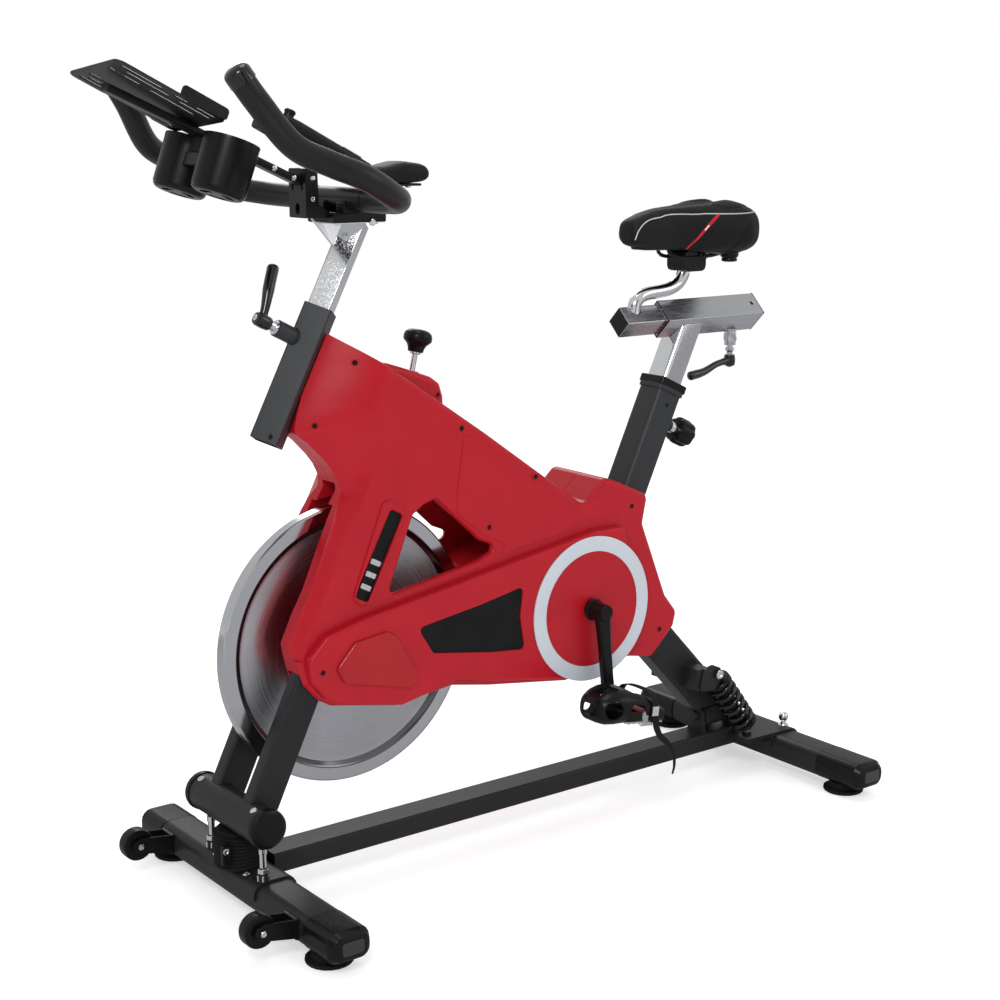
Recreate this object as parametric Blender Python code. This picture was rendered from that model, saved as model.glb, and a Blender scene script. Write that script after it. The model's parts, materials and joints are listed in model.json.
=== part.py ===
"""Indoor spin bike, swing type: the upper frame leans on a fixed base, against two coil shocks.

Metres, +Z up, the rider faces -X. The origin is on the floor, under the middle of the bike.
"Left" is the rider's left, at -Y. Every object is one sub-part, named as its node.
"""

import math

import bmesh
import bpy
from mathutils import Matrix, Vector

# ---- driving dimensions -------------------------------------------------------------------
GAP = 0.0003  # between pieces that touch
DATUM = 0.010  # heights below are measured from this far under the floor

# base
FRONT_BAR_X = -0.500
REAR_BAR_X = 0.674
BAR_WIDTH = 0.072
BAR_BOTTOM = 0.030
BAR_TOP = 0.082
FRONT_HALF = 0.240  # half length of a stabiliser tube, without its caps
FRONT_END = 0.327  # where its caps end
REAR_HALF = 0.205
REAR_END = 0.316
FRONT_FOOT_Y = 0.256
REAR_FOOT_Y = 0.245
FOOT_RADIUS = 0.0385
BEAM_WIDTH = 0.058
BEAM_TOP = 0.096
BEAM_HEIGHT = 0.036
WHEEL_X = -0.598
WHEEL_Y = 0.208
WHEEL_Z = 0.070
WHEEL_RADIUS = 0.0275
MOUNT_X = -0.513
TONGUE_X = 0.572
SHOCK_TOP = Vector((0.5060, 0.054, 0.2230))
SHOCK_FOOT = Vector((0.5975, 0.056, 0.1020))
SHOCK_BOLT = Vector((0.4980, 0.0, 0.2330))
LEAN_Z = 0.128  # height of the axis that the upper frame leans about

# upper frame
PIVOT_X = -0.519
PIVOT_Z = 0.180
PIVOT_RADIUS = 0.031
PIVOT_HALF = 0.103
LEG_Y = 0.0535
LEG_DEPTH = 0.055
LEG_THICK = 0.030
LEG_LEAN = math.radians(25.7)
LEG_X_AT_025 = -0.476
LEG_TOP_Z = 0.780
HEAD_LEAN = math.radians(27.2)
HEAD_FOOT = Vector((-0.4415, 0.0, 0.7775))
HEAD_LENGTH = 0.232
HEAD_OUTER = 0.047
HEAD_BORE = 0.0388
BAR_POST = 0.038
SEAT_LEAN = math.radians(25.1)
SEAT_REF = Vector((0.4005, 0.0, 0.787))
SEAT_OUTER = 0.060
SEAT_BORE = 0.0508
SEAT_POST = 0.050
PIN_Z = 0.738
SPINE_HALF = 0.038
SPINE_HEIGHT = 0.060
SPINE_FRONT = Vector((-0.380, 0.0, 0.885))
SPINE_REAR = Vector((0.245, 0.0, 0.4975))
REAR_LEG_TOP = Vector((0.2555, 0.0, 0.4485))
REAR_LEG_FOOT = Vector((0.560, 0.0, LEAN_Z))
REAR_LEG_DEPTH = 0.075
REAR_LEG_THICK = 0.050

# drive
AXLE = Vector((-0.299, 0.0, 0.425))
CRANK = Vector((0.158, 0.0, 0.426))
FLYWHEEL_RADIUS = 0.238
FLYWHEEL_HALF = 0.012
CRANK_LENGTH = 0.170
CRANK_TILT = math.radians(6.0)
BIG_PULLEY = 0.096
SMALL_PULLEY = 0.026
BELT_Y = -0.0851
BELT_HALF = 0.0055
PEDAL_Y = 0.185

# covers
SHROUD_HALF = 0.078
SKIN = 0.003
GUARD_Y = 0.0945
GUARD_SKIN = 0.0025
DISC_RADIUS = 0.132

# saddle and handlebar
SLIDER_Z = 0.920
SLIDER_OUTER = 0.050
SLIDER_BORE = 0.0408
SLIDER_INNER = 0.040
BAR_TUBE = 0.019
KNOB_LEAN = math.radians(13.0)
KNOB_TOP = Vector((-0.1445, 0.0, 0.9380))


# ---- materials ----------------------------------------------------------------------------
def material(name, colour, roughness, metallic):
    found = bpy.data.materials.get(name)
    if found:
        return found
    made = bpy.data.materials.new(name)
    made.use_nodes = True
    shader = made.node_tree.nodes["Principled BSDF"]
    shader.inputs["Base Color"].default_value = (*colour, 1.0)
    shader.inputs["Roughness"].default_value = roughness
    shader.inputs["Metallic"].default_value = metallic
    return made


def frame_paint():
    return material("frame_paint", (0.035, 0.035, 0.038), 0.45, 0.2)


def red_plastic():
    return material("red_plastic", (0.42, 0.015, 0.025), 0.38, 0.0)


def black_plastic():
    return material("black_plastic", (0.012, 0.012, 0.013), 0.35, 0.0)


def black_rubber():
    return material("black_rubber", (0.015, 0.015, 0.015), 0.75, 0.0)


def chrome():
    return material("chrome", (0.80, 0.80, 0.82), 0.12, 1.0)


def brushed_steel():
    return material("brushed_steel", (0.45, 0.45, 0.46), 0.35, 1.0)


def saddle_cover():
    return material("saddle_cover", (0.014, 0.014, 0.015), 0.6, 0.0)


# ---- geometry helpers ---------------------------------------------------------------------
def add_object(name, mesh, paint, origin):
    """Puts a mesh built in world coordinates into an object whose origin is at a given point."""
    for vertex in mesh.verts:
        vertex.co -= origin
    bmesh.ops.recalc_face_normals(mesh, faces=mesh.faces)
    data = bpy.data.meshes.new(name)
    mesh.to_mesh(data)
    mesh.free()
    data.materials.append(paint)
    data.shade_smooth()
    data.set_sharp_from_angle(angle=math.radians(35.0))
    made = bpy.data.objects.new(name, data)
    made.location = origin
    bpy.context.scene.collection.objects.link(made)
    return made


def loft(name, rings, paint, origin=Vector((0, 0, 0)), closed=False):
    """A solid skinned over rings of points; its two ends are capped unless it closes on itself."""
    mesh = bmesh.new()
    rows = [[mesh.verts.new(point) for point in ring] for ring in rings]
    count = len(rows[0])
    pairs = list(zip(rows, rows[1:]))
    if closed:
        pairs.append((rows[-1], rows[0]))
    for low, high in pairs:
        for i in range(count):
            j = (i + 1) % count
            mesh.faces.new((low[i], low[j], high[j], high[i]))
    if not closed:
        mesh.faces.new(rows[0])
        mesh.faces.new(rows[-1])
    return add_object(name, mesh, paint, origin)


def rounded(width, height, radius, steps=3):
    """Points of a rectangle with round corners, about the middle."""
    points = []
    corners = ((1, 1, 0), (-1, 1, 90), (-1, -1, 180), (1, -1, 270))
    for sx, sy, start in corners:
        centre = (sx * (width / 2 - radius), sy * (height / 2 - radius))
        for i in range(steps + 1):
            a = math.radians(start + 90.0 * i / steps)
            points.append((centre[0] + radius * math.cos(a), centre[1] + radius * math.sin(a)))
    return points


def diamond(side, corner=0.002):
    """A square tube's outline turned 45 degrees, one corner forward."""
    c = math.cos(math.pi / 4)
    return [(c * (x - y), c * (x + y)) for x, y in rounded(side, side, corner, 2)]


def circle(radius, steps=24):
    turns = [2 * math.pi * i / steps for i in range(steps)]
    return [(radius * math.cos(a), radius * math.sin(a)) for a in turns]


def bar(name, start, end, outline, across, paint, origin=None):
    """A straight bar; the outline's first coordinate runs along `across`."""
    along = (end - start).normalized()
    first = (across - along * across.dot(along)).normalized()
    second = along.cross(first)
    rings = [[at + first * p + second * q for p, q in outline] for at in (start, end)]
    return loft(name, rings, paint, origin if origin is not None else Vector((0, 0, 0)))


def turned(name, origin, axis, profile, paint, steps=32):
    """A turned piece: profile points are (distance along the axis, radius), radius 0 at both ends."""
    axis = axis.normalized()
    first = axis.orthogonal().normalized()
    second = axis.cross(first)
    mesh = bmesh.new()
    rows = []
    for along, radius in profile:
        middle = origin + axis * along
        if radius < 1e-6:
            rows.append([mesh.verts.new(middle)])
            continue
        turns = [2 * math.pi * i / steps for i in range(steps)]
        ring = [middle + (first * math.cos(a) + second * math.sin(a)) * radius for a in turns]
        rows.append([mesh.verts.new(point) for point in ring])
    for low, high in zip(rows, rows[1:]):
        for i in range(steps):
            j = (i + 1) % steps
            corners = [low[i % len(low)], low[j % len(low)], high[j % len(high)], high[i % len(high)]]
            mesh.faces.new(list(dict.fromkeys(corners)))
    return add_object(name, mesh, paint, origin)


def disc(name, centre, axis, half, radius, paint, steps=32):
    return turned(
        name, centre, axis, [(-half, 0), (-half, radius), (half, radius), (half, 0)], paint, steps
    )


def box(name, low, high, paint):
    middle = (Vector(low) + Vector(high)) / 2
    size = Vector(high) - Vector(low)
    outline = [(s * size.y / 2, t * size.z / 2) for s, t in ((1, 1), (-1, 1), (-1, -1), (1, -1))]
    start = middle - Vector((size.x / 2, 0, 0))
    end = middle + Vector((size.x / 2, 0, 0))
    return bar(name, start, end, outline, Vector((0, 1, 0)), paint, middle)


def plate(name, outline, y_low, y_high, paint, origin=Vector((0, 0, 0))):
    """A flat piece cut to an outline of (x, z) points."""
    rings = [[Vector((x, y, z)) for x, z in outline] for y in (y_low, y_high)]
    return loft(name, rings, paint, origin)


def filleted(points, radius, steps=3):
    """An outline whose corners are rounded by arcs of a radius, or less where an edge is short."""
    made = []
    count = len(points)
    for i in range(count):
        before = Vector(points[i - 1])
        here = Vector(points[i])
        after = Vector(points[(i + 1) % count])
        u = (before - here).normalized()
        v = (after - here).normalized()
        half = math.acos(max(-1.0, min(1.0, u.dot(v)))) / 2
        if half > math.radians(86):
            made.append(tuple(here))
            continue
        reach = min(radius / math.tan(half), 0.45 * min((before - here).length, (after - here).length))
        arc = reach * math.tan(half)
        centre = here + (u + v).normalized() * (arc / math.sin(half))
        start = here + u * reach - centre
        end = here + v * reach - centre
        turn = start.angle_signed(end)
        for k in range(steps + 1):
            spun = Matrix.Rotation(-turn * k / steps, 2) @ start
            made.append(tuple(centre + spun))
    return made


def offset(points, distance):
    """An outline moved inwards by a distance, or outwards if it is negative."""
    count = len(points)
    area = sum(
        points[i - 1][0] * points[i][1] - points[i][0] * points[i - 1][1] for i in range(count)
    )
    side = math.copysign(1.0, area) * distance
    moved = []
    for i in range(count):
        before = Vector(points[i - 1])
        here = Vector(points[i])
        after = Vector(points[(i + 1) % count])
        u = (here - before).normalized()
        v = (after - here).normalized()
        mitre = (Vector((-u.y, u.x)) + Vector((-v.y, v.x))).normalized()
        moved.append(tuple(here + mitre * side / max(0.35, mitre.dot(Vector((-u.y, u.x))))))
    return moved


def combine(target, tool, operation):
    """Joins, cuts or intersects with another object, which is then only a guide."""
    step = target.modifiers.new(f"{operation}_{tool.name}"[:60], "BOOLEAN")
    step.operation = operation
    step.object = tool
    tool.hide_render = True
    tool.display_type = "WIRE"


def cut(target, tool):
    combine(target, tool, "DIFFERENCE")


def join(target, tool):
    combine(target, tool, "UNION")


def direction(lean):
    """Upwards, leaning back towards +X."""
    return Vector((math.sin(lean), 0.0, math.cos(lean)))


X = Vector((1, 0, 0))
Y = Vector((0, 1, 0))
Z = Vector((0, 0, 1))
SIDES = (("left", -1), ("right", 1))


def pipe(name, points, radius, paint, steps=14, origin=Vector((0, 0, 0)), smooth=6):
    """A round tube through points, on a Catmull-Rom curve."""
    path = []
    count = len(points)
    for i in range(count - 1):
        p0 = points[max(i - 1, 0)]
        p1 = points[i]
        p2 = points[i + 1]
        p3 = points[min(i + 2, count - 1)]
        for k in range(smooth):
            t = k / smooth
            path.append(
                0.5
                * (
                    2 * p1
                    + (p2 - p0) * t
                    + (2 * p0 - 5 * p1 + 4 * p2 - p3) * t**2
                    + (3 * p1 - p0 - 3 * p2 + p3) * t**3
                )
            )
    path.append(points[-1])
    rings = []
    first = (path[1] - path[0]).orthogonal().normalized()
    for i, at in enumerate(path):
        along = (path[min(i + 1, len(path) - 1)] - path[max(i - 1, 0)]).normalized()
        first = (first - along * first.dot(along)).normalized()
        second = along.cross(first)
        rings.append([at + first * p + second * q for p, q in circle(radius, steps)])
    return loft(name, rings, paint, origin)


# ---- base ---------------------------------------------------------------------------------
def build_stabiliser(prefix, x, half):
    middle = (BAR_BOTTOM + BAR_TOP) / 2
    outline = rounded(BAR_WIDTH, BAR_TOP - BAR_BOTTOM, 0.018, 4)
    start = Vector((x, -half, middle))
    end = Vector((x, half, middle))
    return bar(f"{prefix}_stabiliser", start, end, outline, X, frame_paint(), Vector((x, 0, middle)))


def build_end_cap(prefix, side_name, side, x, foot_y, seam, tip):
    """A moulded cap on the end of a stabiliser, with a bore from below for the foot's screw."""
    middle = (BAR_BOTTOM + BAR_TOP) / 2
    rings = []
    sections = ((seam + GAP, 0.0), (tip - 0.016, 0.0), (tip - 0.005, 0.006), (tip, 0.015))
    for y, shrink in sections:
        outline = rounded(
            BAR_WIDTH + 0.004 - 2 * shrink, BAR_TOP - BAR_BOTTOM - 2 * shrink, 0.019 - shrink / 2, 4
        )
        rings.append([Vector((x + p, side * y, middle + q)) for p, q in outline])
    name = f"{prefix}_cap_{side_name}"
    cap = loft(name, rings, black_plastic(), Vector((x, side * foot_y, middle)))
    bore = disc(
        f"{name}_bore",
        Vector((x, side * foot_y, BAR_BOTTOM)),
        Z,
        0.034,
        0.0058,
        black_plastic(),
        20,
    )
    cut(cap, bore)


def build_foot(prefix, side_name, side, x, foot_y):
    """A levelling foot: a rubber disc with a neck and the screw that runs up into the cap."""
    under = BAR_BOTTOM - DATUM - GAP
    profile = [
        (0, 0),
        (0, FOOT_RADIUS - 0.002),
        (0.002, FOOT_RADIUS),
        (0.007, FOOT_RADIUS),
        (0.009, 0.029),
        (under, 0.027),
        (under, 0.005),
        (under + 0.031, 0.005),
        (under + 0.031, 0),
    ]
    turned(f"{prefix}_foot_{side_name}", Vector((x, side * foot_y, DATUM)), Z, profile, black_rubber(), 20)


def build_beam():
    front = FRONT_BAR_X + BAR_WIDTH / 2 + GAP
    rear = REAR_BAR_X - BAR_WIDTH / 2 - GAP
    middle = BEAM_TOP - BEAM_HEIGHT / 2
    beam = bar(
        "base_beam",
        Vector((front, 0, middle)),
        Vector((rear, 0, middle)),
        rounded(BEAM_WIDTH, BEAM_HEIGHT, 0.003, 1),
        Y,
        frame_paint(),
    )
    return beam


def build_saddle(prefix, x, half):
    """A folded steel plate bolted down over a stabiliser."""
    thick = 0.004
    drop = 0.024
    corner = 0.018
    outer = []
    inner = []
    width = BAR_WIDTH / 2 + GAP
    for i in range(5):
        a = math.radians(90.0 * i / 4)
        reach = (math.cos(a), math.sin(a))
        outer.append((width - corner + (corner + thick) * reach[0], (corner + thick) * reach[1]))
        inner.append((width - corner + corner * reach[0], corner * reach[1]))
    level = BAR_TOP + GAP - corner
    right = [(width + thick, corner - drop)] + outer
    left = [(-p, q) for p, q in reversed(right)]
    back = [(-width, corner - drop)] + [(-p, q) for p, q in inner]
    front = [(p, q) for p, q in reversed([(width, corner - drop)] + inner)]
    outline = [(x + p, level + q) for p, q in right + left + back + front]
    saddle = plate(f"{prefix}_saddle", outline, -half, half, frame_paint(), Vector((x, 0, BAR_TOP)))
    if prefix == "front":
        low_x, high_x = x + BAR_WIDTH / 2 - 0.006, x + 0.05
        slot = box(
            "front_saddle_beam_gap",
            (low_x, -BEAM_WIDTH / 2 - GAP, BAR_BOTTOM),
            (high_x, BEAM_WIDTH / 2 + GAP, BEAM_TOP + GAP),
            frame_paint(),
        )
        cut(saddle, slot)
    return saddle


def build_rear_tongue(saddle):
    """The rear saddle's flat tongue either side of the beam, which the shocks stand on."""
    edge = REAR_BAR_X - BAR_WIDTH / 2
    low = BAR_TOP - 0.004
    tongue = box(
        "rear_saddle_tongue",
        (TONGUE_X, -0.084, low),
        (edge + 0.020, 0.084, BAR_TOP + 0.0043),
        frame_paint(),
    )
    tube = bar(
        "rear_saddle_bar_gap",
        Vector((REAR_BAR_X, -0.2, (BAR_BOTTOM + BAR_TOP) / 2)),
        Vector((REAR_BAR_X, 0.2, (BAR_BOTTOM + BAR_TOP) / 2)),
        rounded(BAR_WIDTH + 2 * GAP, BAR_TOP - BAR_BOTTOM + 2 * GAP, 0.018, 4),
        X,
        frame_paint(),
    )
    cut(tongue, tube)
    tongue.hide_render = True
    join(saddle, tongue)
    slot = box(
        "rear_saddle_beam_gap",
        (TONGUE_X - 0.02, -BEAM_WIDTH / 2 - GAP, BAR_BOTTOM),
        (edge + 0.006, BEAM_WIDTH / 2 + GAP, BEAM_TOP + 0.02),
        frame_paint(),
    )
    cut(saddle, slot)
    for side_name, side in SIDES:
        stem = disc(
            f"rear_saddle_stem_{side_name}",
            Vector((SHOCK_FOOT.x, side * SHOCK_FOOT.y, BAR_TOP + 0.006)),
            Z,
            0.0040,
            0.009,
            chrome(),
            16,
        )
        join(saddle, stem)


def build_limit_bolts(saddle, prefix, x, y, top):
    """Stud, two nuts and a rubber tip under each side, which stop the lean."""
    base = BAR_TOP + 0.003
    for side_name, side in SIDES:
        profile = [
            (0, 0),
            (0, 0.0105),
            (0.012, 0.0105),
            (0.012, 0.0085),
            (0.022, 0.0085),
            (0.022, 0.005),
            (top - base - 0.008, 0.005),
            (top - base - 0.008, 0.0068),
            (top - base, 0.0068),
            (top - base, 0),
        ]
        bolt = turned(
            f"{prefix}_limit_bolt_{side_name}",
            Vector((x, side * y, base)),
            Z,
            profile,
            chrome(),
            12,
        )
        join(saddle, bolt)


def build_rubber_mount():
    """A ribbed rubber block that lets the front of the upper frame sway."""
    low = BAR_TOP + 0.004 + 2 * GAP
    high = PIVOT_Z - PIVOT_RADIUS - GAP
    ribs = 5
    pitch = (high - low - 0.004) / ribs
    radius = 0.042
    profile = [(0, 0), (0, radius)]
    for i in range(ribs):
        profile.append((0.002 + pitch * (i + 0.3), radius))
        profile.append((0.002 + pitch * (i + 0.5), radius - 0.0035))
        profile.append((0.002 + pitch * (i + 0.7), radius))
    profile.append((high - low, 0.036))
    profile.append((high - low, 0))
    turned("rubber_mount", Vector((MOUNT_X, 0, low)), Z, profile, black_rubber(), 20)


def build_wheel_fork(side_name, side):
    """A bent bracket on the stabiliser's front face, whose two cheeks hold a wheel."""
    front = FRONT_BAR_X - BAR_WIDTH / 2 - GAP
    y = side * WHEEL_Y
    fork = box(
        f"wheel_fork_{side_name}",
        (front - 0.005, y - 0.019, 0.043),
        (front, y + 0.019, 0.077),
        black_plastic(),
    )
    for name, shift in (("near", -0.0165), ("far", 0.0165)):
        outline = [
            (front - 0.003, 0.045),
            (front - 0.003, 0.076),
            (WHEEL_X + 0.004, WHEEL_Z + 0.014),
            (WHEEL_X - 0.010, WHEEL_Z + 0.010),
            (WHEEL_X - 0.014, WHEEL_Z),
            (WHEEL_X - 0.010, WHEEL_Z - 0.010),
            (WHEEL_X + 0.004, WHEEL_Z - 0.014),
        ]
        cheek = plate(
            f"wheel_fork_{side_name}_{name}",
            outline,
            y + shift - 0.0015,
            y + shift + 0.0015,
            black_plastic(),
        )
        join(fork, cheek)
    pin = disc(f"wheel_fork_{side_name}_pin", Vector((WHEEL_X, y, WHEEL_Z)), Y, 0.0195, 0.004, chrome(), 16)
    join(fork, pin)


def build_wheel(side_name, side):
    """A transport wheel: a closed ring around the bracket's pin."""
    half = 0.0125
    radius = WHEEL_RADIUS
    bore = 0.0043
    section = [
        (-half, bore),
        (-half, radius - 0.003),
        (-half + 0.003, radius),
        (half - 0.003, radius),
        (half, radius - 0.003),
        (half, bore),
    ]
    ring_piece(
        f"transport_wheel_{side_name}",
        Vector((WHEEL_X, side * WHEEL_Y, WHEEL_Z)),
        section,
        black_plastic(),
        24,
    )


def ring_piece(name, centre, section, paint, steps):
    """A ring about the Y axis through a centre; section points are (y, radius)."""
    rings = []
    for i in range(steps):
        a = 2 * math.pi * i / steps
        rings.append(
            [centre + Vector((radius * math.cos(a), y, radius * math.sin(a))) for y, radius in section]
        )
    return loft(name, rings, paint, centre, closed=True)


def build_lean_bracket(beam):
    """Two ears and a bolt on the base beam, on the axis that the rear of the frame leans about."""
    x = REAR_LEG_FOOT.x
    for name, shift in (("front", -0.047), ("rear", 0.047)):
        outline = [
            (-0.024, BEAM_TOP - 0.004),
            (0.024, BEAM_TOP - 0.004),
            (0.020, LEAN_Z + 0.010),
            (0.010, LEAN_Z + 0.019),
            (-0.010, LEAN_Z + 0.019),
            (-0.020, LEAN_Z + 0.010),
        ]
        rings = [[Vector((x + shift + d, y, z)) for y, z in outline] for d in (-0.003, 0.003)]
        ear = loft(f"lean_bracket_{name}", rings, frame_paint())
        join(beam, ear)
    bolt = turned(
        "lean_bracket_bolt",
        Vector((x, 0, LEAN_Z)),
        X,
        [
            (-0.058, 0),
            (-0.058, 0.010),
            (-0.049, 0.010),
            (-0.049, 0.006),
            (0.049, 0.006),
            (0.049, 0.010),
            (0.058, 0.010),
            (0.058, 0),
        ],
        chrome(),
        20,
    )
    join(beam, bolt)


def build_base():
    build_lean_bracket(build_beam())
    for prefix, x, foot_y, seam, tip in (
        ("front", FRONT_BAR_X, FRONT_FOOT_Y, FRONT_HALF, FRONT_END),
        ("rear", REAR_BAR_X, REAR_FOOT_Y, REAR_HALF, REAR_END),
    ):
        build_stabiliser(prefix, x, seam)
        for side_name, side in SIDES:
            build_end_cap(prefix, side_name, side, x, foot_y, seam, tip)
            build_foot(prefix, side_name, side, x, foot_y)
    front = build_saddle("front", FRONT_BAR_X, 0.094)
    build_limit_bolts(front, "front", MOUNT_X - 0.004, 0.086, PIVOT_Z - PIVOT_RADIUS - 0.0075)
    rear = build_saddle("rear", REAR_BAR_X, 0.086)
    build_rear_tongue(rear)
    build_rubber_mount()
    for side_name, side in SIDES:
        build_wheel_fork(side_name, side)
        build_wheel(side_name, side)


# ---- upper frame --------------------------------------------------------------------------
def leg_point(z):
    return Vector((LEG_X_AT_025 + (z - 0.25) * math.tan(LEG_LEAN), 0, z))


def leg_bar(name, side, grow):
    shift = Vector((0, side * LEG_Y, 0))
    low = leg_point(PIVOT_Z - 0.01) + shift
    high = leg_point(LEG_TOP_Z) + shift
    outline = rounded(LEG_DEPTH + grow, LEG_THICK + grow, 0.006)
    return bar(name, low, high, outline, X, frame_paint())


def build_front_frame():
    """The pivot tube and the two legs that straddle the flywheel."""
    centre = Vector((PIVOT_X, 0, PIVOT_Z))
    end = PIVOT_HALF + 0.010
    profile = [
        (-end, 0),
        (-end, PIVOT_RADIUS - 0.003),
        (-end + 0.003, PIVOT_RADIUS + 0.001),
        (-PIVOT_HALF, PIVOT_RADIUS + 0.001),
        (-PIVOT_HALF, PIVOT_RADIUS),
        (PIVOT_HALF, PIVOT_RADIUS),
        (PIVOT_HALF, PIVOT_RADIUS + 0.001),
        (end - 0.003, PIVOT_RADIUS + 0.001),
        (end, PIVOT_RADIUS - 0.003),
        (end, 0),
    ]
    turned("pivot_tube", centre, Y, profile, frame_paint(), 28)
    for side_name, side in SIDES:
        leg = leg_bar(f"fork_leg_{side_name}", side, 0.0)
        cut(
            leg,
            disc(
                f"fork_leg_{side_name}_saddle",
                centre,
                Y,
                PIVOT_HALF + 0.02,
                PIVOT_RADIUS + GAP,
                frame_paint(),
                28,
            ),
        )


def head_point(along, out=0.0):
    up = direction(HEAD_LEAN)
    front = Vector((-up.z, 0, up.x))
    return HEAD_FOOT + up * along + front * out


def head_bar(name, low, high, side, corner, paint, origin=None):
    return bar(name, head_point(low), head_point(high), diamond(side, corner), Y, paint, origin)


def head_taper(name, side, inset=0.0):
    """What is cut away so that the cover, and the tube inside it, narrow towards the sleeve."""
    near = 0.018 - inset
    far = SHROUD_HALF - inset
    outline = [(-0.020, near), (-0.125, far), (-0.125, 0.2), (0.3, 0.2), (0.3, near)]
    rings = []
    for along in (-0.050, 0.5):
        rings.append([head_point(along, out) + Y * side * y for out, y in outline])
    return loft(name, rings, red_plastic())


def build_head():
    sleeve = head_bar("head_sleeve", 0, HEAD_LENGTH, HEAD_OUTER, 0.003, frame_paint())
    boss = bar(
        "head_sleeve_boss",
        head_point(0.172, 0.024),
        head_point(0.172, 0.062),
        circle(0.014, 24),
        Y,
        frame_paint(),
    )
    join(sleeve, boss)
    cut(sleeve, head_bar("head_sleeve_bore", -0.02, HEAD_LENGTH + 0.02, HEAD_BORE, 0.001, frame_paint()))
    cut(
        sleeve,
        bar(
            "head_sleeve_screw_hole",
            head_point(0.172, 0.01),
            head_point(0.172, 0.08),
            circle(0.0058, 16),
            Y,
            frame_paint(),
        ),
    )


def seat_point(z):
    return SEAT_REF + direction(SEAT_LEAN) * ((z - SEAT_REF.z) / math.cos(SEAT_LEAN))


def seat_bar(name, low_z, high_z, side, corner, paint, origin=None):
    return bar(name, seat_point(low_z), seat_point(high_z), rounded(side, side, corner), X, paint, origin)


def spine_bar(name, grow):
    outline = [(p, q) for p, q in rounded(2 * SPINE_HALF - 0.001 + grow, SPINE_HEIGHT + grow, 0.006)]
    return bar(name, SPINE_FRONT, SPINE_REAR, outline, Y, frame_paint())


def knob_axis():
    return direction(KNOB_LEAN)


def build_spine():
    """The main tube from the head sleeve down and back to the seat sleeve."""
    spine = spine_bar("spine_tube", 0.0)
    cut(
        spine,
        head_bar(
            "spine_head_clearance",
            -0.05,
            HEAD_LENGTH + 0.05,
            HEAD_OUTER + 2 * GAP,
            0.003,
            frame_paint(),
        ),
    )
    for side_name, side in SIDES:
        cut(spine, head_taper(f"spine_taper_{side_name}", side, SKIN + 0.002))
    cut(spine, seat_bar("spine_seat_clearance", 0.40, 0.80, SEAT_OUTER + 2 * GAP, 0.010, frame_paint()))
    rod = knob_axis()
    cut(spine, bar("spine_rod_hole", KNOB_TOP - rod * 0.30, KNOB_TOP, circle(0.0105, 20), Y, frame_paint()))


def build_seat_sleeve():
    sleeve = seat_bar("seat_sleeve", 0.478, 0.792, SEAT_OUTER, 0.010, frame_paint())
    collar = seat_bar("seat_sleeve_collar", 0.785, 0.799, SEAT_OUTER + 0.006, 0.012, black_plastic())
    join(sleeve, collar)
    cut(sleeve, seat_bar("seat_sleeve_bore", 0.455, 0.83, SEAT_BORE, 0.0085, frame_paint()))
    back = direction(SEAT_LEAN + math.pi / 2)
    at = seat_point(PIN_Z)
    nut = bar("seat_sleeve_nut", at + back * 0.0285, at + back * 0.050, circle(0.011, 6), Y, chrome())
    join(sleeve, nut)
    cut(
        sleeve,
        bar("seat_sleeve_pin_hole", at + back * 0.01, at + back * 0.07, circle(0.0055, 14), Y, chrome()),
    )


def rear_leg_axis():
    return (REAR_LEG_TOP - REAR_LEG_FOOT).normalized()


def rear_leg_bar(name, grow):
    outline = rounded(REAR_LEG_DEPTH + grow, REAR_LEG_THICK + grow, 0.008)
    return bar(name, REAR_LEG_FOOT, REAR_LEG_TOP, outline, X, frame_paint())


def build_rear_leg():
    """The rear leg with its pivot barrel, the cross bridge for the side rails and the shock ears."""
    along = rear_leg_axis()
    outline = rounded(REAR_LEG_DEPTH, REAR_LEG_THICK, 0.008)
    leg = bar("rear_leg", REAR_LEG_FOOT - along * 0.020, REAR_LEG_TOP, outline, X, frame_paint())
    cut(leg, box("rear_leg_floor", (0.40, -0.06, 0.02), (0.70, 0.06, LEAN_Z + 0.0235), frame_paint()))
    foot = REAR_LEG_FOOT
    join(
        leg,
        box(
            "rear_leg_neck",
            foot + Vector((-0.038, -0.014, 0.005)),
            foot + Vector((0.038, 0.014, 0.040)),
            frame_paint(),
        ),
    )
    join(leg, disc("rear_leg_barrel", foot, X, 0.0425, 0.024, frame_paint(), 24))
    bridge = box("rear_leg_bridge", (0.2175, -0.068, 0.404), (0.250, 0.068, 0.448), frame_paint())
    join(leg, bridge)
    join(leg, box("rear_leg_shock_block", (0.4500, -0.066, 0.206), (0.4800, 0.066, 0.248), frame_paint()))
    bolt = turned(
        "rear_leg_shock_bolt",
        SHOCK_BOLT,
        Y,
        [
            (-0.076, 0),
            (-0.076, 0.009),
            (-0.071, 0.009),
            (-0.071, 0.006),
            (0.071, 0.006),
            (0.071, 0.009),
            (0.076, 0.009),
            (0.076, 0),
        ],
        chrome(),
        16,
    )
    join(leg, bolt)
    cut(leg, disc("rear_leg_bore", REAR_LEG_FOOT, X, 0.06, 0.0064, frame_paint(), 18))
    cut(leg, seat_bar("rear_leg_seat_clearance", 0.4777, 0.60, SEAT_OUTER + 2 * GAP, 0.010, frame_paint()))


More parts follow.
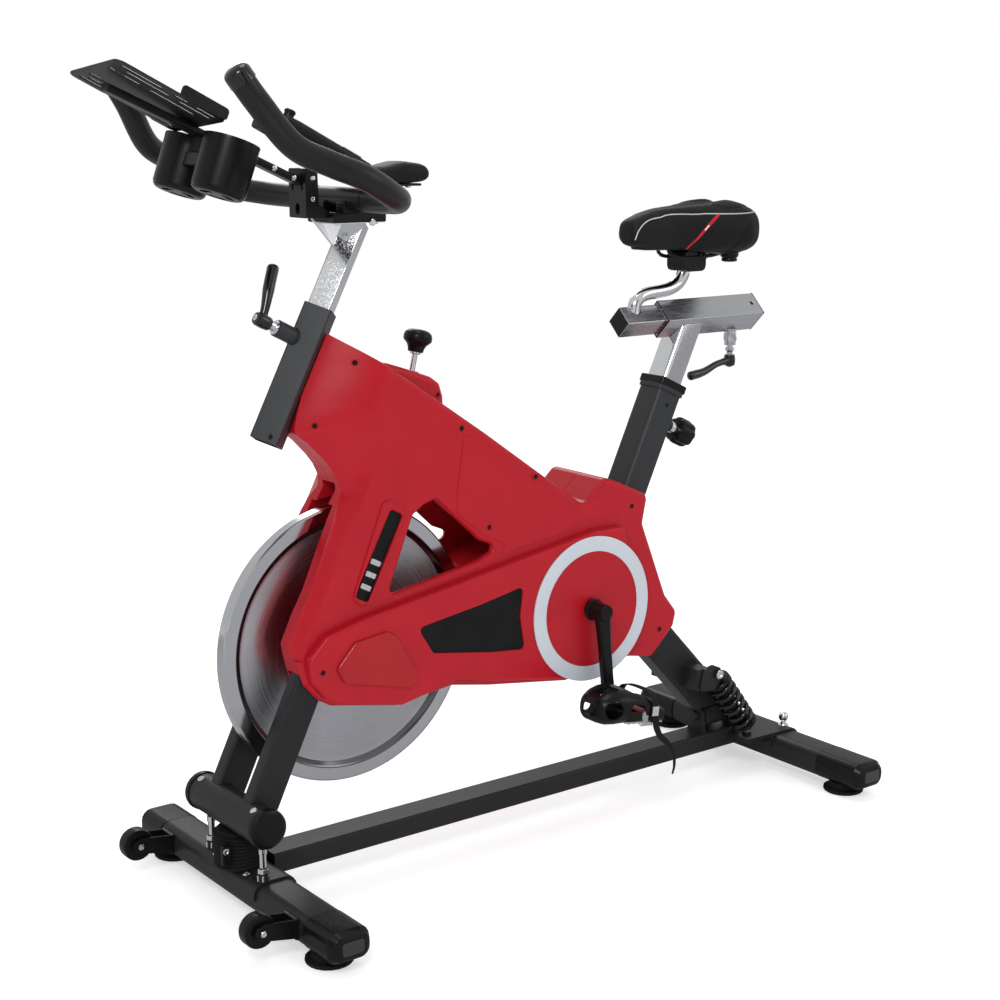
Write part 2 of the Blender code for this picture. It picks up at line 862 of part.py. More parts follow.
def build_side_rails():
    """Rails from the fork legs to the rear bridge, bored for the flywheel and crank axles."""
    rear = 0.2175 - GAP
    for side_name, side in SIDES:
        front = leg_point(AXLE.z).x
        y = side * LEG_Y
        rail = bar(
            f"side_rail_{side_name}",
            Vector((front, y, AXLE.z)),
            Vector((rear, y, AXLE.z)),
            rounded(LEG_THICK, 0.044, 0.004, 1),
            Y,
            frame_paint(),
        )
        cut(rail, leg_bar(f"side_rail_{side_name}_clearance", side, 2 * GAP))
        cut(rail, disc(f"side_rail_{side_name}_axle_bore", AXLE, Y, 0.1, 0.0103, frame_paint(), 24))
        cut(rail, disc(f"side_rail_{side_name}_crank_bore", CRANK, Y, 0.1, 0.0103, frame_paint(), 24))


def build_frame():
    build_front_frame()
    build_head()
    build_spine()
    build_seat_sleeve()
    build_rear_leg()
    build_side_rails()


def build_shocks():
    """Two coil shocks, from a bolt through the rear leg down and out to the rear saddle's tongue."""
    for side_name, side in SIDES:
        top = Vector((SHOCK_TOP.x, side * SHOCK_TOP.y, SHOCK_TOP.z))
        foot = Vector((SHOCK_FOOT.x, side * SHOCK_FOOT.y, SHOCK_FOOT.z))
        along = (foot - top).normalized()
        length = (foot - top).length
        turns = 5
        pitch = (length - 0.036) / turns
        profile = [(-0.020, 0), (-0.020, 0.0125), (0.014, 0.0125), (0.014, 0.0265)]
        for i in range(turns):
            profile.append((0.016 + pitch * (i + 0.25), 0.0275))
            profile.append((0.016 + pitch * (i + 0.50), 0.0225))
            profile.append((0.016 + pitch * (i + 0.75), 0.0275))
        profile += [(length - 0.018, 0.0265), (length - 0.018, 0.012), (length, 0.011), (length, 0)]
        shock = turned(f"shock_{side_name}", top, along, profile, black_plastic(), 14)
        cut(shock, disc(f"shock_{side_name}_eye", SHOCK_BOLT, Y, 0.1, 0.0064, black_plastic(), 16))
        cut(
            shock,
            disc(
                f"shock_{side_name}_stem_gap",
                Vector((foot.x, foot.y, BAR_TOP)),
                Z,
                0.0102 + GAP,
                0.04,
                black_plastic(),
                16,
            ),
        )


# ---- drive --------------------------------------------------------------------------------
def build_flywheel():
    rim = FLYWHEEL_HALF
    web = 0.004
    r = FLYWHEEL_RADIUS
    section = [
        (-0.016, 0.0103),
        (-0.016, 0.030),
        (-web, 0.034),
        (-web, r - 0.050),
        (-rim, r - 0.038),
        (-rim, r),
        (rim, r),
        (rim, r - 0.038),
        (web, r - 0.050),
        (web, 0.034),
        (0.016, 0.030),
        (0.016, 0.0103),
    ]
    ring_piece("flywheel", AXLE, section, brushed_steel(), 48)
    start = BELT_Y - BELT_HALF
    turned(
        "flywheel_axle",
        AXLE,
        Y,
        [(start, 0), (start, 0.010), (0.070, 0.010), (0.070, 0)],
        brushed_steel(),
        24,
    )


def build_pulleys():
    low = BELT_Y - BELT_HALF
    high = BELT_Y + BELT_HALF
    small = [(low, 0.0103), (low, SMALL_PULLEY), (high, SMALL_PULLEY), (high, 0.0103)]
    ring_piece("flywheel_pulley", AXLE, small, brushed_steel(), 24)
    big = [
        (low, 0.0103),
        (low, 0.026),
        (BELT_Y - 0.002, 0.026),
        (BELT_Y - 0.002, BIG_PULLEY - 0.008),
        (low, BIG_PULLEY - 0.008),
        (low, BIG_PULLEY),
        (high, BIG_PULLEY),
        (high, 0.0103),
    ]
    ring_piece("crank_pulley", CRANK, big, brushed_steel(), 36)


def build_belt():
    """A flat belt round both pulleys: two arcs joined by the outer tangents."""
    thick = 0.003
    span = CRANK.x - AXLE.x
    lift = math.asin((BIG_PULLEY - SMALL_PULLEY) / span)
    rings = []
    steps = 15
    for centre, radius, start, sweep in (
        (CRANK, BIG_PULLEY, -math.pi / 2 - lift, math.pi + 2 * lift),
        (AXLE, SMALL_PULLEY, math.pi / 2 + lift, math.pi - 2 * lift),
    ):
        reach = (radius + 0.0005) / math.cos(sweep / steps / 2)
        for i in range(steps + 1):
            a = start + sweep * i / steps
            ray = Vector((math.cos(a), 0, math.sin(a)))
            inner = centre + ray * reach
            outer = centre + ray * (reach + thick)
            rings.append(
                [
                    inner + Y * (BELT_Y - BELT_HALF + 0.0005),
                    inner + Y * (BELT_Y + BELT_HALF - 0.0005),
                    outer + Y * (BELT_Y + BELT_HALF - 0.0005),
                    outer + Y * (BELT_Y - BELT_HALF + 0.0005),
                ]
            )
    loft("drive_belt", rings, black_rubber(), CRANK, closed=True)


def crank_end(side):
    """The pedal's axis: the left crank hangs down, the right one stands up."""
    way = Vector((math.sin(CRANK_TILT), 0, -math.cos(CRANK_TILT)))
    return CRANK - way * side * CRANK_LENGTH


def build_cranks():
    turned("crank_axle", CRANK, Y, [(-0.108, 0), (-0.108, 0.010), (0.108, 0.010), (0.108, 0)], chrome(), 24)
    for side_name, side in SIDES:
        way = (crank_end(side) - CRANK).normalized()
        hub = CRANK + Y * side * 0.125
        end = crank_end(side) + Y * side * 0.132
        arm = bar(
            f"crank_{side_name}",
            hub + way * 0.004,
            end + way * 0.010,
            rounded(0.026, 0.015, 0.005, 2),
            X,
            black_plastic(),
            CRANK.copy(),
        )
        boss = turned(
            f"crank_{side_name}_boss",
            CRANK + Y * side * 0.1005,
            Y * side,
            [(0, 0), (0, 0.019), (0.028, 0.019), (0.034, 0.014), (0.034, 0)],
            black_plastic(),
            20,
        )
        join(arm, boss)
        eye = disc(f"crank_{side_name}_eye", end, Y, 0.0085, 0.0155, black_plastic(), 20)
        join(arm, eye)
        cut(
            arm,
            disc(
                f"crank_{side_name}_bore",
                CRANK + Y * side * 0.100,
                Y,
                0.0085,
                0.0103,
                black_plastic(),
                24,
            ),
        )
        cut(arm, disc(f"crank_{side_name}_thread", end, Y, 0.03, 0.0075, black_plastic(), 16))


def pedal_tilt(point, centre):
    turn = Matrix.Rotation(math.radians(8.0), 4, "Y")
    return centre + turn @ point


def build_pedal(side_name, side):
    """A cage pedal: body round the spindle, side plates, and a toe cage open to the rear."""
    centre = crank_end(side) + Y * side * PEDAL_Y
    name = f"pedal_{side_name}"
    body = turned(
        name,
        centre,
        Y * side,
        [(-0.060, 0), (-0.060, 0.007), (-0.042, 0.007), (-0.042, 0.014), (0.042, 0.014), (0.042, 0)],
        black_plastic(),
        20,
    )
    for label, shift in (("inner", -0.038), ("outer", 0.038)):
        outline = filleted([(-0.046, -0.012), (0.046, -0.012), (0.046, 0.012), (-0.046, 0.012)], 0.008)
        at = side * shift
        rings = [[pedal_tilt(Vector((x, at + d, z)), centre) for x, z in outline] for d in (-0.004, 0.004)]
        join(body, loft(f"{name}_{label}_plate", rings, black_plastic()))
    for label, shift in (("front", -0.040), ("rear", 0.040)):
        rings = [
            [pedal_tilt(Vector((shift + p, y, q)), centre) for p, q in rounded(0.010, 0.022, 0.003, 2)]
            for y in (-0.040, 0.040)
        ]
        join(body, loft(f"{name}_{label}_bar", rings, black_plastic()))
    join(body, build_toe_cage(name, centre))


def build_toe_cage(name, centre):
    """A hooped shell over the toes, open behind."""
    rings = []
    for x, half, top, bottom in (
        (-0.034, 0.043, 0.044, -0.014),
        (-0.062, 0.042, 0.043, -0.016),
        (-0.086, 0.036, 0.038, -0.016),
        (-0.100, 0.024, 0.026, -0.008),
    ):
        outline = rounded(2 * half, top - bottom, min(half, (top - bottom) / 2) * 0.7, 3)
        middle = (top + bottom) / 2
        rings.append([pedal_tilt(Vector((x, p, middle + q)), centre) for p, q in outline])
    cage = loft(f"{name}_cage", rings, black_plastic())
    hollow = []
    for x, half, top, bottom in (
        (-0.020, 0.0405, 0.0415, -0.0115),
        (-0.062, 0.0395, 0.0405, -0.0135),
        (-0.084, 0.0335, 0.0355, -0.0135),
        (-0.097, 0.0215, 0.0235, -0.0055),
    ):
        outline = rounded(2 * half, top - bottom, min(half, (top - bottom) / 2) * 0.7, 3)
        middle = (top + bottom) / 2
        hollow.append([pedal_tilt(Vector((x, p, middle + q)), centre) for p, q in outline])
    cut(cage, loft(f"{name}_cage_hollow", hollow, black_plastic()))
    window = bar(
        f"{name}_cage_window",
        pedal_tilt(Vector((-0.076, -0.08, 0.012)), centre),
        pedal_tilt(Vector((-0.076, 0.08, 0.012)), centre),
        circle(0.018, 16),
        X,
        black_plastic(),
    )
    cut(cage, window)
    return cage


def build_drive():
    build_flywheel()
    build_pulleys()
    build_belt()
    build_cranks()
    for side_name, side in SIDES:
        build_pedal(side_name, side)


# ---- covers -------------------------------------------------------------------------------
def arc_points(centre, radius, start, end, steps):
    angles = [math.radians(start + (end - start) * i / steps) for i in range(steps + 1)]
    return [(centre.x + radius * math.cos(a), centre.z + radius * math.sin(a)) for a in angles]


def shroud_outline():
    """The main cover seen from the side: head, top edge, seat neck, rear corner, bottom, fork arm."""
    head = [(-0.350, 0.956), (-0.280, 0.908), (-0.214, 0.866), (-0.063, 0.765), (0.155, 0.612)]
    neck = [(0.203, 0.656), (0.234, 0.645), (0.306, 0.612), (0.295, 0.560), (0.354, 0.416)]
    rear = [(0.383, 0.380), (0.376, 0.352), (0.323, 0.301), (0.266, 0.312)]
    bottom = [(0.117, 0.294), (-0.055, 0.319), (-0.134, 0.334), (-0.248, 0.321), (-0.375, 0.346)]
    arm = [(-0.404, 0.363), (-0.428, 0.391), (-0.437, 0.437), (-0.364, 0.640)]
    throat = [(-0.3575, 0.700), (-0.361, 0.732), (-0.378, 0.768), (-0.408, 0.800)]
    return head + neck + rear + bottom + arm + throat


def window_outline():
    return [
        (-0.211, 0.642),
        (-0.189, 0.656),
        (-0.165, 0.663),
        (-0.075, 0.580),
        (-0.036, 0.564),
        (-0.076, 0.546),
        (-0.263, 0.513),
    ]


def build_shroud(side_name, side):
    """One half of the red cover: a skin with a rim that reaches to the middle."""
    name = f"shroud_{side_name}"
    edge = SHROUD_HALF
    shell = plate(name, filleted(shroud_outline(), 0.012), side * GAP, side * edge, red_plastic())
    hollow = plate(
        f"{name}_hollow",
        filleted(offset(shroud_outline(), SKIN), 0.009),
        -side * 0.02,
        side * (edge - SKIN),
        red_plastic(),
    )
    keep = plate(
        f"{name}_window_wall",
        offset(window_outline(), -SKIN),
        -side * 0.03,
        side * 0.2,
        red_plastic(),
    )
    cut(hollow, keep)
    cut(shell, hollow)
    cut(shell, plate(f"{name}_window", window_outline(), -side * 0.1, side * 0.1, red_plastic()))
    cut(shell, disc(f"{name}_flywheel_slot", AXLE, Y, 0.032, FLYWHEEL_RADIUS + 0.012, red_plastic(), 48))
    cut(shell, head_taper(f"{name}_taper", side))
    cut(shell, leg_bar(f"{name}_leg_gap", side, 0.003))
    cut(
        shell,
        head_bar(f"{name}_head_gap", -0.10, HEAD_LENGTH + 0.10, HEAD_OUTER + 0.003, 0.003, red_plastic()),
    )
    cut(shell, seat_bar(f"{name}_seat_gap", 0.40, 0.90, SEAT_OUTER + 0.003, 0.010, red_plastic()))
    cut(shell, rear_leg_bar(f"{name}_rear_gap", 0.003))
    cut(shell, disc(f"{name}_crank_hole", CRANK, Y, 0.2, 0.024, red_plastic(), 32))
    rod = knob_axis()
    cut(shell, bar(f"{name}_rod_gap", KNOB_TOP - rod * 0.2, KNOB_TOP, circle(0.010, 20), Y, red_plastic()))
    pad = box(f"{name}_pad_pocket", (-0.250, -0.014, 0.625), (-0.168, 0.014, 0.700), red_plastic())
    cut(shell, pad)
    if side < 0:
        cut(shell, disc(f"{name}_axle_hole", AXLE, Y, 0.2, 0.014, red_plastic(), 24))


def guard_outline():
    """The belt cover: round the crank, with a straight ledge forward to the flywheel's axle."""
    disc_arc = arc_points(CRANK, DISC_RADIUS, -102, 50, 16)
    top = [(0.235, 0.566), (0.168, 0.566), (-0.293, 0.495), (-0.350, 0.486)]
    front = [(-0.400, 0.432), (-0.392, 0.385), (-0.365, 0.361)]
    bottom = [(-0.248, 0.334), (-0.134, 0.349), (-0.055, 0.331), (0.110, 0.303)]
    return disc_arc + top + front + bottom


def build_belt_guard():
    """The proud cover over the belt, a shallow box on the left half of the shroud."""
    inner = -SHROUD_HALF - GAP
    outer = -GUARD_Y
    guard = plate("belt_guard", guard_outline(), outer, inner, red_plastic(), CRANK.copy())
    hollow = offset(guard_outline(), GUARD_SKIN)
    cut(guard, plate("belt_guard_hollow", hollow, outer + GUARD_SKIN, inner + 0.02, red_plastic()))
    cut(guard, disc("belt_guard_crank_hole", CRANK, Y, 0.2, 0.022, red_plastic(), 32))


def build_covers():
    for side_name, side in SIDES:
        build_shroud(side_name, side)
    build_belt_guard()


# ---- saddle -------------------------------------------------------------------------------
def build_seat_post():
    post = seat_bar("seat_post", 0.545, SLIDER_Z, SEAT_POST, 0.008, chrome())
    slider = slider_bar("seat_post_slider_gap", 0.36, 0.66, SLIDER_OUTER + 2 * GAP)
    cut(post, slider)


def slider_bar(name, start, end, side):
    return bar(
        name,
        Vector((start, 0, SLIDER_Z)),
        Vector((end, 0, SLIDER_Z)),
        diamond(side),
        Y,
        brushed_steel(),
    )


def build_slider():
    """A square tube set on its corner, a smaller one that slides in it, and its clamp's boss."""
    outer = slider_bar("slider_tube", 0.3875, 0.6317, SLIDER_OUTER)
    boss = disc("slider_tube_boss", Vector((0.577, 0, 0.8745)), Z, 0.0155, 0.011, black_plastic(), 20)
    join(outer, boss)
    cut(outer, slider_bar("slider_tube_bore", 0.37, 0.65, SLIDER_BORE))
    cut(
        outer,
        disc("slider_tube_screw_hole", Vector((0.577, 0, 0.873)), Z, 0.025, 0.0055, black_plastic(), 14),
    )
    inner = slider_bar("slider_bar", 0.295, 0.580, SLIDER_INNER)
    hole = disc("slider_bar_hole", Vector((0.330, 0, 0.940)), Z, 0.022, 0.0138, brushed_steel(), 20)
    cut(inner, hole)


def build_swan_neck():
    """The bent chrome tube that carries the saddle over the slider."""
    points = [
        Vector((0.330, 0, 0.9190)),
        Vector((0.330, 0, 0.9440)),
        Vector((0.336, 0, 0.9570)),
        Vector((0.354, 0, 0.9660)),
        Vector((0.385, 0, 0.9690)),
        Vector((0.420, 0, 0.9710)),
        Vector((0.444, 0, 0.9800)),
        Vector((0.453, 0, 0.9970)),
        Vector((0.453, 0, 1.0300)),
    ]
    pipe("swan_neck", points, 0.0122, chrome(), 12, smooth=2)


SADDLE_PIVOT = Vector((0.453, 0, 1.040))


def build_saddle_seat():
    """Clamp head, two rails and the padded seat, as one moving unit in two pieces."""
    clamp = bar(
        "saddle_clamp",
        SADDLE_PIVOT + Vector((0.006, -0.024, -0.015)),
        SADDLE_PIVOT + Vector((0.006, 0.024, -0.015)),
        rounded(0.054, 0.038, 0.010, 2),
        X,
        black_plastic(),
        SADDLE_PIVOT.copy(),
    )
    slot = box("saddle_clamp_slot", (0.4350, -0.0134, 0.98), (0.4710, 0.0134, 1.0345), black_plastic())
    cut(clamp, slot)
    for side_name, side in SIDES:
        rail = [
            Vector((0.396, side * 0.012, 1.0620)),
            Vector((0.402, side * 0.015, 1.0420)),
            Vector((0.425, side * 0.022, 1.0330)),
            Vector((0.470, side * 0.024, 1.0320)),
            Vector((0.520, side * 0.030, 1.0380)),
            Vector((0.540, side * 0.033, 1.0520)),
        ]
        join(clamp, pipe(f"saddle_clamp_rail_{side_name}", rail, 0.0035, black_plastic(), 8, smooth=2))
    sections = (
        # x, half width, underside, top
        (0.3030, 0.016, 1.0640, 1.0920),
        (0.3100, 0.025, 1.0580, 1.1000),
        (0.3440, 0.035, 1.0550, 1.1060),
        (0.3900, 0.046, 1.0540, 1.1110),
        (0.4400, 0.066, 1.0520, 1.1180),
        (0.4900, 0.090, 1.0460, 1.1260),
        (0.5350, 0.100, 1.0380, 1.1310),
        (0.5650, 0.090, 1.0400, 1.1270),
        (0.5790, 0.062, 1.0500, 1.1150),
    )
    rings = []
    for x, half, low, high in sections:
        outline = rounded(2 * half, high - low, min(0.45 * (high - low), 0.8 * half), 3)
        rings.append([Vector((x, p, (low + high) / 2 + q)) for p, q in outline])
    seat = loft("saddle", rings, saddle_cover(), SADDLE_PIVOT.copy())
    cut(seat, box("saddle_underside_gap", (0.378, -0.040, 1.00), (0.600, 0.040, 1.0660), saddle_cover()))


def build_seat_levers():
    """The slider's clamp lever below the tube, and the pull pin behind the seat sleeve."""
    lever = turned(
        "slider_lever",
        Vector((0.577, 0, 0.818)),
        Z,
        [
            (-0.004, 0),
            (-0.004, 0.005),
            (0, 0.005),
            (0, 0.0105),
            (0.022, 0.0095),
            (0.022, 0.005),
            (0.0640, 0.005),
            (0.0640, 0),
        ],
        black_plastic(),
        16,
    )
    points = [
        Vector((0.575, 0, 0.828)),
        Vector((0.540, 0, 0.823)),
        Vector((0.510, 0, 0.812)),
        Vector((0.474, 0, 0.806)),
    ]
    join(lever, pipe("slider_lever_handle", points, 0.0070, black_plastic(), 10, smooth=2))
    back = direction(SEAT_LEAN + math.pi / 2)
    profile = [
        (-0.024, 0),
        (-0.024, 0.005),
        (GAP, 0.005),
        (GAP, 0.011),
        (0.012, 0.012),
        (0.016, 0.024),
        (0.022, 0.0265),
        (0.050, 0.0265),
        (0.056, 0.020),
        (0.056, 0),
    ]
    turned("pop_pin", seat_point(PIN_Z) + back * 0.050, back, profile, black_plastic(), 20)


def build_saddle_group():
    build_seat_post()
    build_slider()
    build_swan_neck()
    build_saddle_seat()
    build_seat_levers()


# ---- handlebar ----------------------------------------------------------------------------
def handlebar_path():
    half = [
        Vector((-0.290, 0.000, 1.1560)),
        Vector((-0.291, 0.070, 1.1560)),
        Vector((-0.298, 0.140, 1.1565)),
        Vector((-0.318, 0.200, 1.1600)),
        Vector((-0.356, 0.242, 1.1700)),
        Vector((-0.412, 0.260, 1.1960)),
        Vector((-0.466, 0.250, 1.2170)),
        Vector((-0.515, 0.230, 1.2430)),
        Vector((-0.558, 0.206, 1.3040)),
        Vector((-0.587, 0.200, 1.3450)),
    ]
    near = [Vector((p.x, -p.y, p.z)) for p in reversed(half)]
    return near + half[1:]


def build_handlebar():
    pipe("handlebar", handlebar_path(), BAR_TUBE, black_rubber(), 12, smooth=2)


def build_bar_post():
    """The chrome post, square and set on its corner, with the plate that carries the handlebar."""
    post = head_bar("handlebar_post", 0.070, 0.385, BAR_POST, 0.002, chrome())
    top = box("handlebar_post_plate", (-0.330, -0.040, 1.119), (-0.236, 0.040, 1.1365), black_plastic())
    join(post, top)
    gusset = plate(
        "handlebar_post_gusset",
        [(-0.350, 1.1275), (-0.262, 1.1275), (-0.300, 1.070)],
        -0.003,
        0.003,
        chrome(),
    )
    join(post, gusset)
    return post


def build_front_bracket():
    """The upright plate on the bar's front and the arm that carries the cups and the tray."""
    arm_start = Vector((-0.345, 0, 1.1725))
    arm_end = Vector((-0.690, 0, 1.3245))
    arm = bar("front_bracket", arm_start, arm_end, rounded(0.024, 0.012, 0.003, 2), Y, black_plastic())
    riser = box("front_bracket_plate", (-0.372, -0.026, 1.1280), (-0.352, 0.026, 1.205), black_plastic())
    join(arm, riser)
    foot = box("front_bracket_foot", (-0.372, -0.026, 1.1280), (-0.3305, 0.026, 1.1365), black_plastic())
    join(arm, foot)
    cradle = disc(
        "front_bracket_bar_gap",
        Vector((-0.2900, 0, 1.156)),
        Y,
        0.1,
        BAR_TUBE + 0.0006,
        black_plastic(),
        28,
    )
    cut(arm, cradle)


CUP_TILT = math.radians(20.0)
CUP_RADIUS = 0.043
CUP_DEPTH = 0.085


def cup_axis():
    return Vector((math.sin(CUP_TILT), 0, math.cos(CUP_TILT)))


def cup_foot(side):
    return Vector((-0.548, side * 0.062, 1.169))


def cup_solid(name, side, profile):
    return turned(name, cup_foot(side), cup_axis(), profile, black_plastic(), 24)


def build_cups():
    """Two round cups moulded side by side, joined by a web."""
    rim = CUP_RADIUS
    deep = CUP_DEPTH
    outer = [(0, 0), (0, rim - 0.010), (0.003, rim - 0.004), (0.010, rim - 0.001), (deep, rim), (deep, 0)]
    inner = [
        (0.003, 0),
        (0.003, rim - 0.012),
        (0.012, rim - 0.0035),
        (deep + 0.01, rim - 0.003),
        (deep + 0.01, 0),
    ]
    cups = cup_solid("cup_holder", -1, outer)
    middle = cup_foot(0)
    web = bar(
        "cup_holder_web",
        middle + cup_axis() * (deep - 0.048),
        middle + cup_axis() * (deep - 0.026),
        rounded(0.050, 0.050, 0.004, 1),
        Y,
        black_plastic(),
    )
    join(cups, web)
    join(cups, cup_solid("cup_holder_right", 1, outer))
    for side_name, side in SIDES:
        cut(cups, cup_solid(f"cup_holder_{side_name}_hollow", side, inner))


TRAY_TILT = math.radians(26.5)
TRAY_ROLL = math.radians(6.5)  # its near side is up
TRAY_REAR = Vector((-0.5385, 0, 1.2680))


def tray_point(forward, y, lift):
    """A point of the tray: forward along its slope, across, and above its face."""
    way = Vector((-math.cos(TRAY_TILT), 0, math.sin(TRAY_TILT)))
    level = Vector((math.sin(TRAY_TILT), 0, math.cos(TRAY_TILT)))
    across = Y * math.cos(TRAY_ROLL) - level * math.sin(TRAY_ROLL)
    normal = level * math.cos(TRAY_ROLL) + Y * math.sin(TRAY_ROLL)
    return TRAY_REAR + way * forward + across * y + normal * lift


def build_tray():
    """The slotted steel tablet tray, with its lip folded up at the near side."""
    length = 0.1908
    outline = filleted([(0, -0.0775), (length, -0.0775), (length, 0.0775), (0, 0.0775)], 0.016)
    rings = [[tray_point(f, y, lift) for f, y in outline] for lift in (0.0, 0.0025)]
    tray = loft("tablet_tray", rings, frame_paint())
    lip_outline = filleted([(0.0, 0.0), (0.0, 0.020), (0.083, 0.020), (0.083, 0.0)], 0.008)
    rings = [[tray_point(f, y, lift) for f, lift in lip_outline] for y in (-0.0775, -0.0750)]
    join(tray, loft("tablet_tray_lip", rings, frame_paint()))
    slots = [(0.020, 0.085, -0.050), (0.100, 0.170, -0.050), (0.030, 0.120, -0.030), (0.132, 0.178, -0.030)]
    slots += [(0.020, 0.085, 0.050), (0.100, 0.170, 0.050), (0.030, 0.120, 0.030), (0.132, 0.178, 0.030)]
    for i, (near, far, y) in enumerate(slots):
        outline = filleted(
            [(near, y - 0.003), (far, y - 0.003), (far, y + 0.003), (near, y + 0.003)], 0.0028, 2
        )
        rings = [[tray_point(f, q, lift) for f, q in outline] for lift in (-0.01, 0.0125)]
        cut(tray, loft(f"tablet_tray_slot_{i}", rings, frame_paint()))


def build_console():
    """A slim console between the horns and the pad behind the bar."""
    tilt = math.radians(27.0)
    way = Vector((-math.cos(tilt), 0, math.sin(tilt)))
    start = Vector((-0.272, 0, 1.2020))
    outline = rounded(0.110, 0.020, 0.006, 2)
    bar("console", start, start + way * 0.165, outline, Y, black_plastic())


def build_rear_pad():
    rings = []
    for x, half, low, high in (
        (-0.2460, 0.026, 1.1800, 1.1980),
        (-0.2320, 0.038, 1.1760, 1.2090),
        (-0.1900, 0.042, 1.1760, 1.2180),
        (-0.1500, 0.038, 1.1780, 1.2130),
        (-0.1360, 0.026, 1.1840, 1.2030),
    ):
        outline = rounded(2 * half, high - low, 0.45 * (high - low), 3)
        rings.append([Vector((x, p, (low + high) / 2 + q)) for p, q in outline])
    loft("rear_pad", rings, saddle_cover(), Vector((-0.20, 0, 1.19)))


def build_bar_lever():
    """The clamp lever of the head sleeve: stud, hub and a long handle."""
    up = direction(HEAD_LEAN)
    front = head_point(0.172, 1.0) - head_point(0.172, 0.0)
    hub = turned(
        "bar_lever",
        head_point(0.172, 0.0),
        front,
        [
            (0.0268, 0),
            (0.0268, 0.005),
            (0.062 + GAP, 0.005),
            (0.062 + GAP, 0.0115),
            (0.067, 0.0115),
            (0.067, 0.005),
            (0.075, 0.005),
            (0.075, 0.010),
            (0.098, 0.0105),
            (0.103, 0.006),
            (0.103, 0),
        ],
        black_plastic(),
        16,
    )
    points = [
        head_point(0.172, 0.088),
        head_point(0.172, 0.090) + up * 0.025 + Y * 0.006,
        head_point(0.172, 0.093) + up * 0.055 + Y * 0.015,
        head_point(0.172, 0.092) + up * 0.087 + Y * 0.027,
    ]
    join(hub, pipe("bar_lever_handle", points, 0.0072, black_plastic(), 10, smooth=2))


def build_resistance():
    """The brake: a rod with its knob, and the felt pad it pushes onto the flywheel's rim."""
    down = -knob_axis()
    rod_top = KNOB_TOP
    turned(
        "resistance_knob",
        rod_top,
        down,
        [
            (0, 0),
            (0, 0.012),
            (0.003, 0.018),
            (0.008, 0.024),
            (0.019, 0.0245),
            (0.024, 0.020),
            (0.030, 0.013),
            (0.040, 0.012),
            (0.040, 0),
        ],
        black_plastic(),
        24,
    )
    length = 0.281
    rod = turned(
        "brake_rod",
        rod_top,
        down,
        [
            (0.0403, 0),
            (0.0403, 0.005),
            (length - 0.020, 0.005),
            (length - 0.020, 0.008),
            (length, 0.008),
            (length, 0),
        ],
        chrome(),
        16,
    )
    foot = rod_top + down * (length + 0.004)
    pad = bar(
        "brake_rod_pad",
        foot - knob_axis() * -0.006,
        foot - knob_axis() * 0.008,
        rounded(0.050, 0.022, 0.004, 2),
        X,
        black_rubber(),
    )
    join(rod, pad)


def build_handlebar_group():
    build_handlebar()
    build_bar_post()
    build_front_bracket()
    build_cups()
    build_tray()
    build_console()
    build_rear_pad()
    build_bar_lever()
    build_resistance()


def main():
    for old in list(bpy.data.objects):
        bpy.data.objects.remove(old)
    build_base()
    build_frame()
    build_shocks()
    build_drive()
    build_covers()
    build_saddle_group()
    build_handlebar_group()
    for made in bpy.data.objects:
        made.location.z -= DATUM


main()
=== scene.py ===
"""The looks of an indoor spin bike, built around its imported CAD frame.

Metres, +Z up, the rider faces -X. Points written through at() give their height above a datum
DROP under the floor, as the bike's own drawing does; at() returns them in the frame's own height.
"""

import json
import math

import bmesh
import bpy
from mathutils import Matrix, Vector
from mathutils.bvhtree import BVHTree
from mathutils.geometry import tessellate_polygon


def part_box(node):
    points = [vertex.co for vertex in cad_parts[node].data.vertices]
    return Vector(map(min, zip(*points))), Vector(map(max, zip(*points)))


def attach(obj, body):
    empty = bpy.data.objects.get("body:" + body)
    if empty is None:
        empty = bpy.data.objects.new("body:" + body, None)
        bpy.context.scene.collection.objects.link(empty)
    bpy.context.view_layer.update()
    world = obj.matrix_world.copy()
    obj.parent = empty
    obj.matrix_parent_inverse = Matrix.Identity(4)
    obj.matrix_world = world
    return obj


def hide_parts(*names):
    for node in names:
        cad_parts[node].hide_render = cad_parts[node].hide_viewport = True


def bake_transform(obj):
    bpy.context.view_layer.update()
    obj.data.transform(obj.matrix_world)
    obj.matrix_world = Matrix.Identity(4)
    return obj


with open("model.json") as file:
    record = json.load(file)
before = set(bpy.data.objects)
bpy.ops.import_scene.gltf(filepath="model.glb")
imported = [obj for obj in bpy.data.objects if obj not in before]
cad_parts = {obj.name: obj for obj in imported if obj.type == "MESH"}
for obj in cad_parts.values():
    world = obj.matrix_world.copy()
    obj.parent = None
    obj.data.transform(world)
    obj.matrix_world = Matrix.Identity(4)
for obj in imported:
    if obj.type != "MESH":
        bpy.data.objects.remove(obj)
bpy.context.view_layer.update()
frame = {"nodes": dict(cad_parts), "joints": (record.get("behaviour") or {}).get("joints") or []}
NODES = frame["nodes"]
JOINTS = {j["name"]: j for j in frame["joints"]}
DROP = 0.01
X, Y, Z = Vector((1, 0, 0)), Vector((0, 1, 0)), Vector((0, 0, 1))
SIDES = (("left", -1), ("right", 1))
UPPER = "upper_frame"
MAST = "handlebar_mast"


def at(x, y, z):
    return Vector((x, y, z - DROP))


def mm(table):
    """A table of numbers given in millimetres, in metres."""
    return [tuple(v * 0.001 for v in line) for line in table]


AXLE = Vector(JOINTS["flywheel_spin"]["pos_m"])
CRANK = Vector(JOINTS["crank_spin"]["pos_m"])
SADDLE_PIVOT = Vector(JOINTS["saddle_tilt"]["pos_m"])


# ---- materials ----------------------------------------------------------------------------
SLOTS = {}


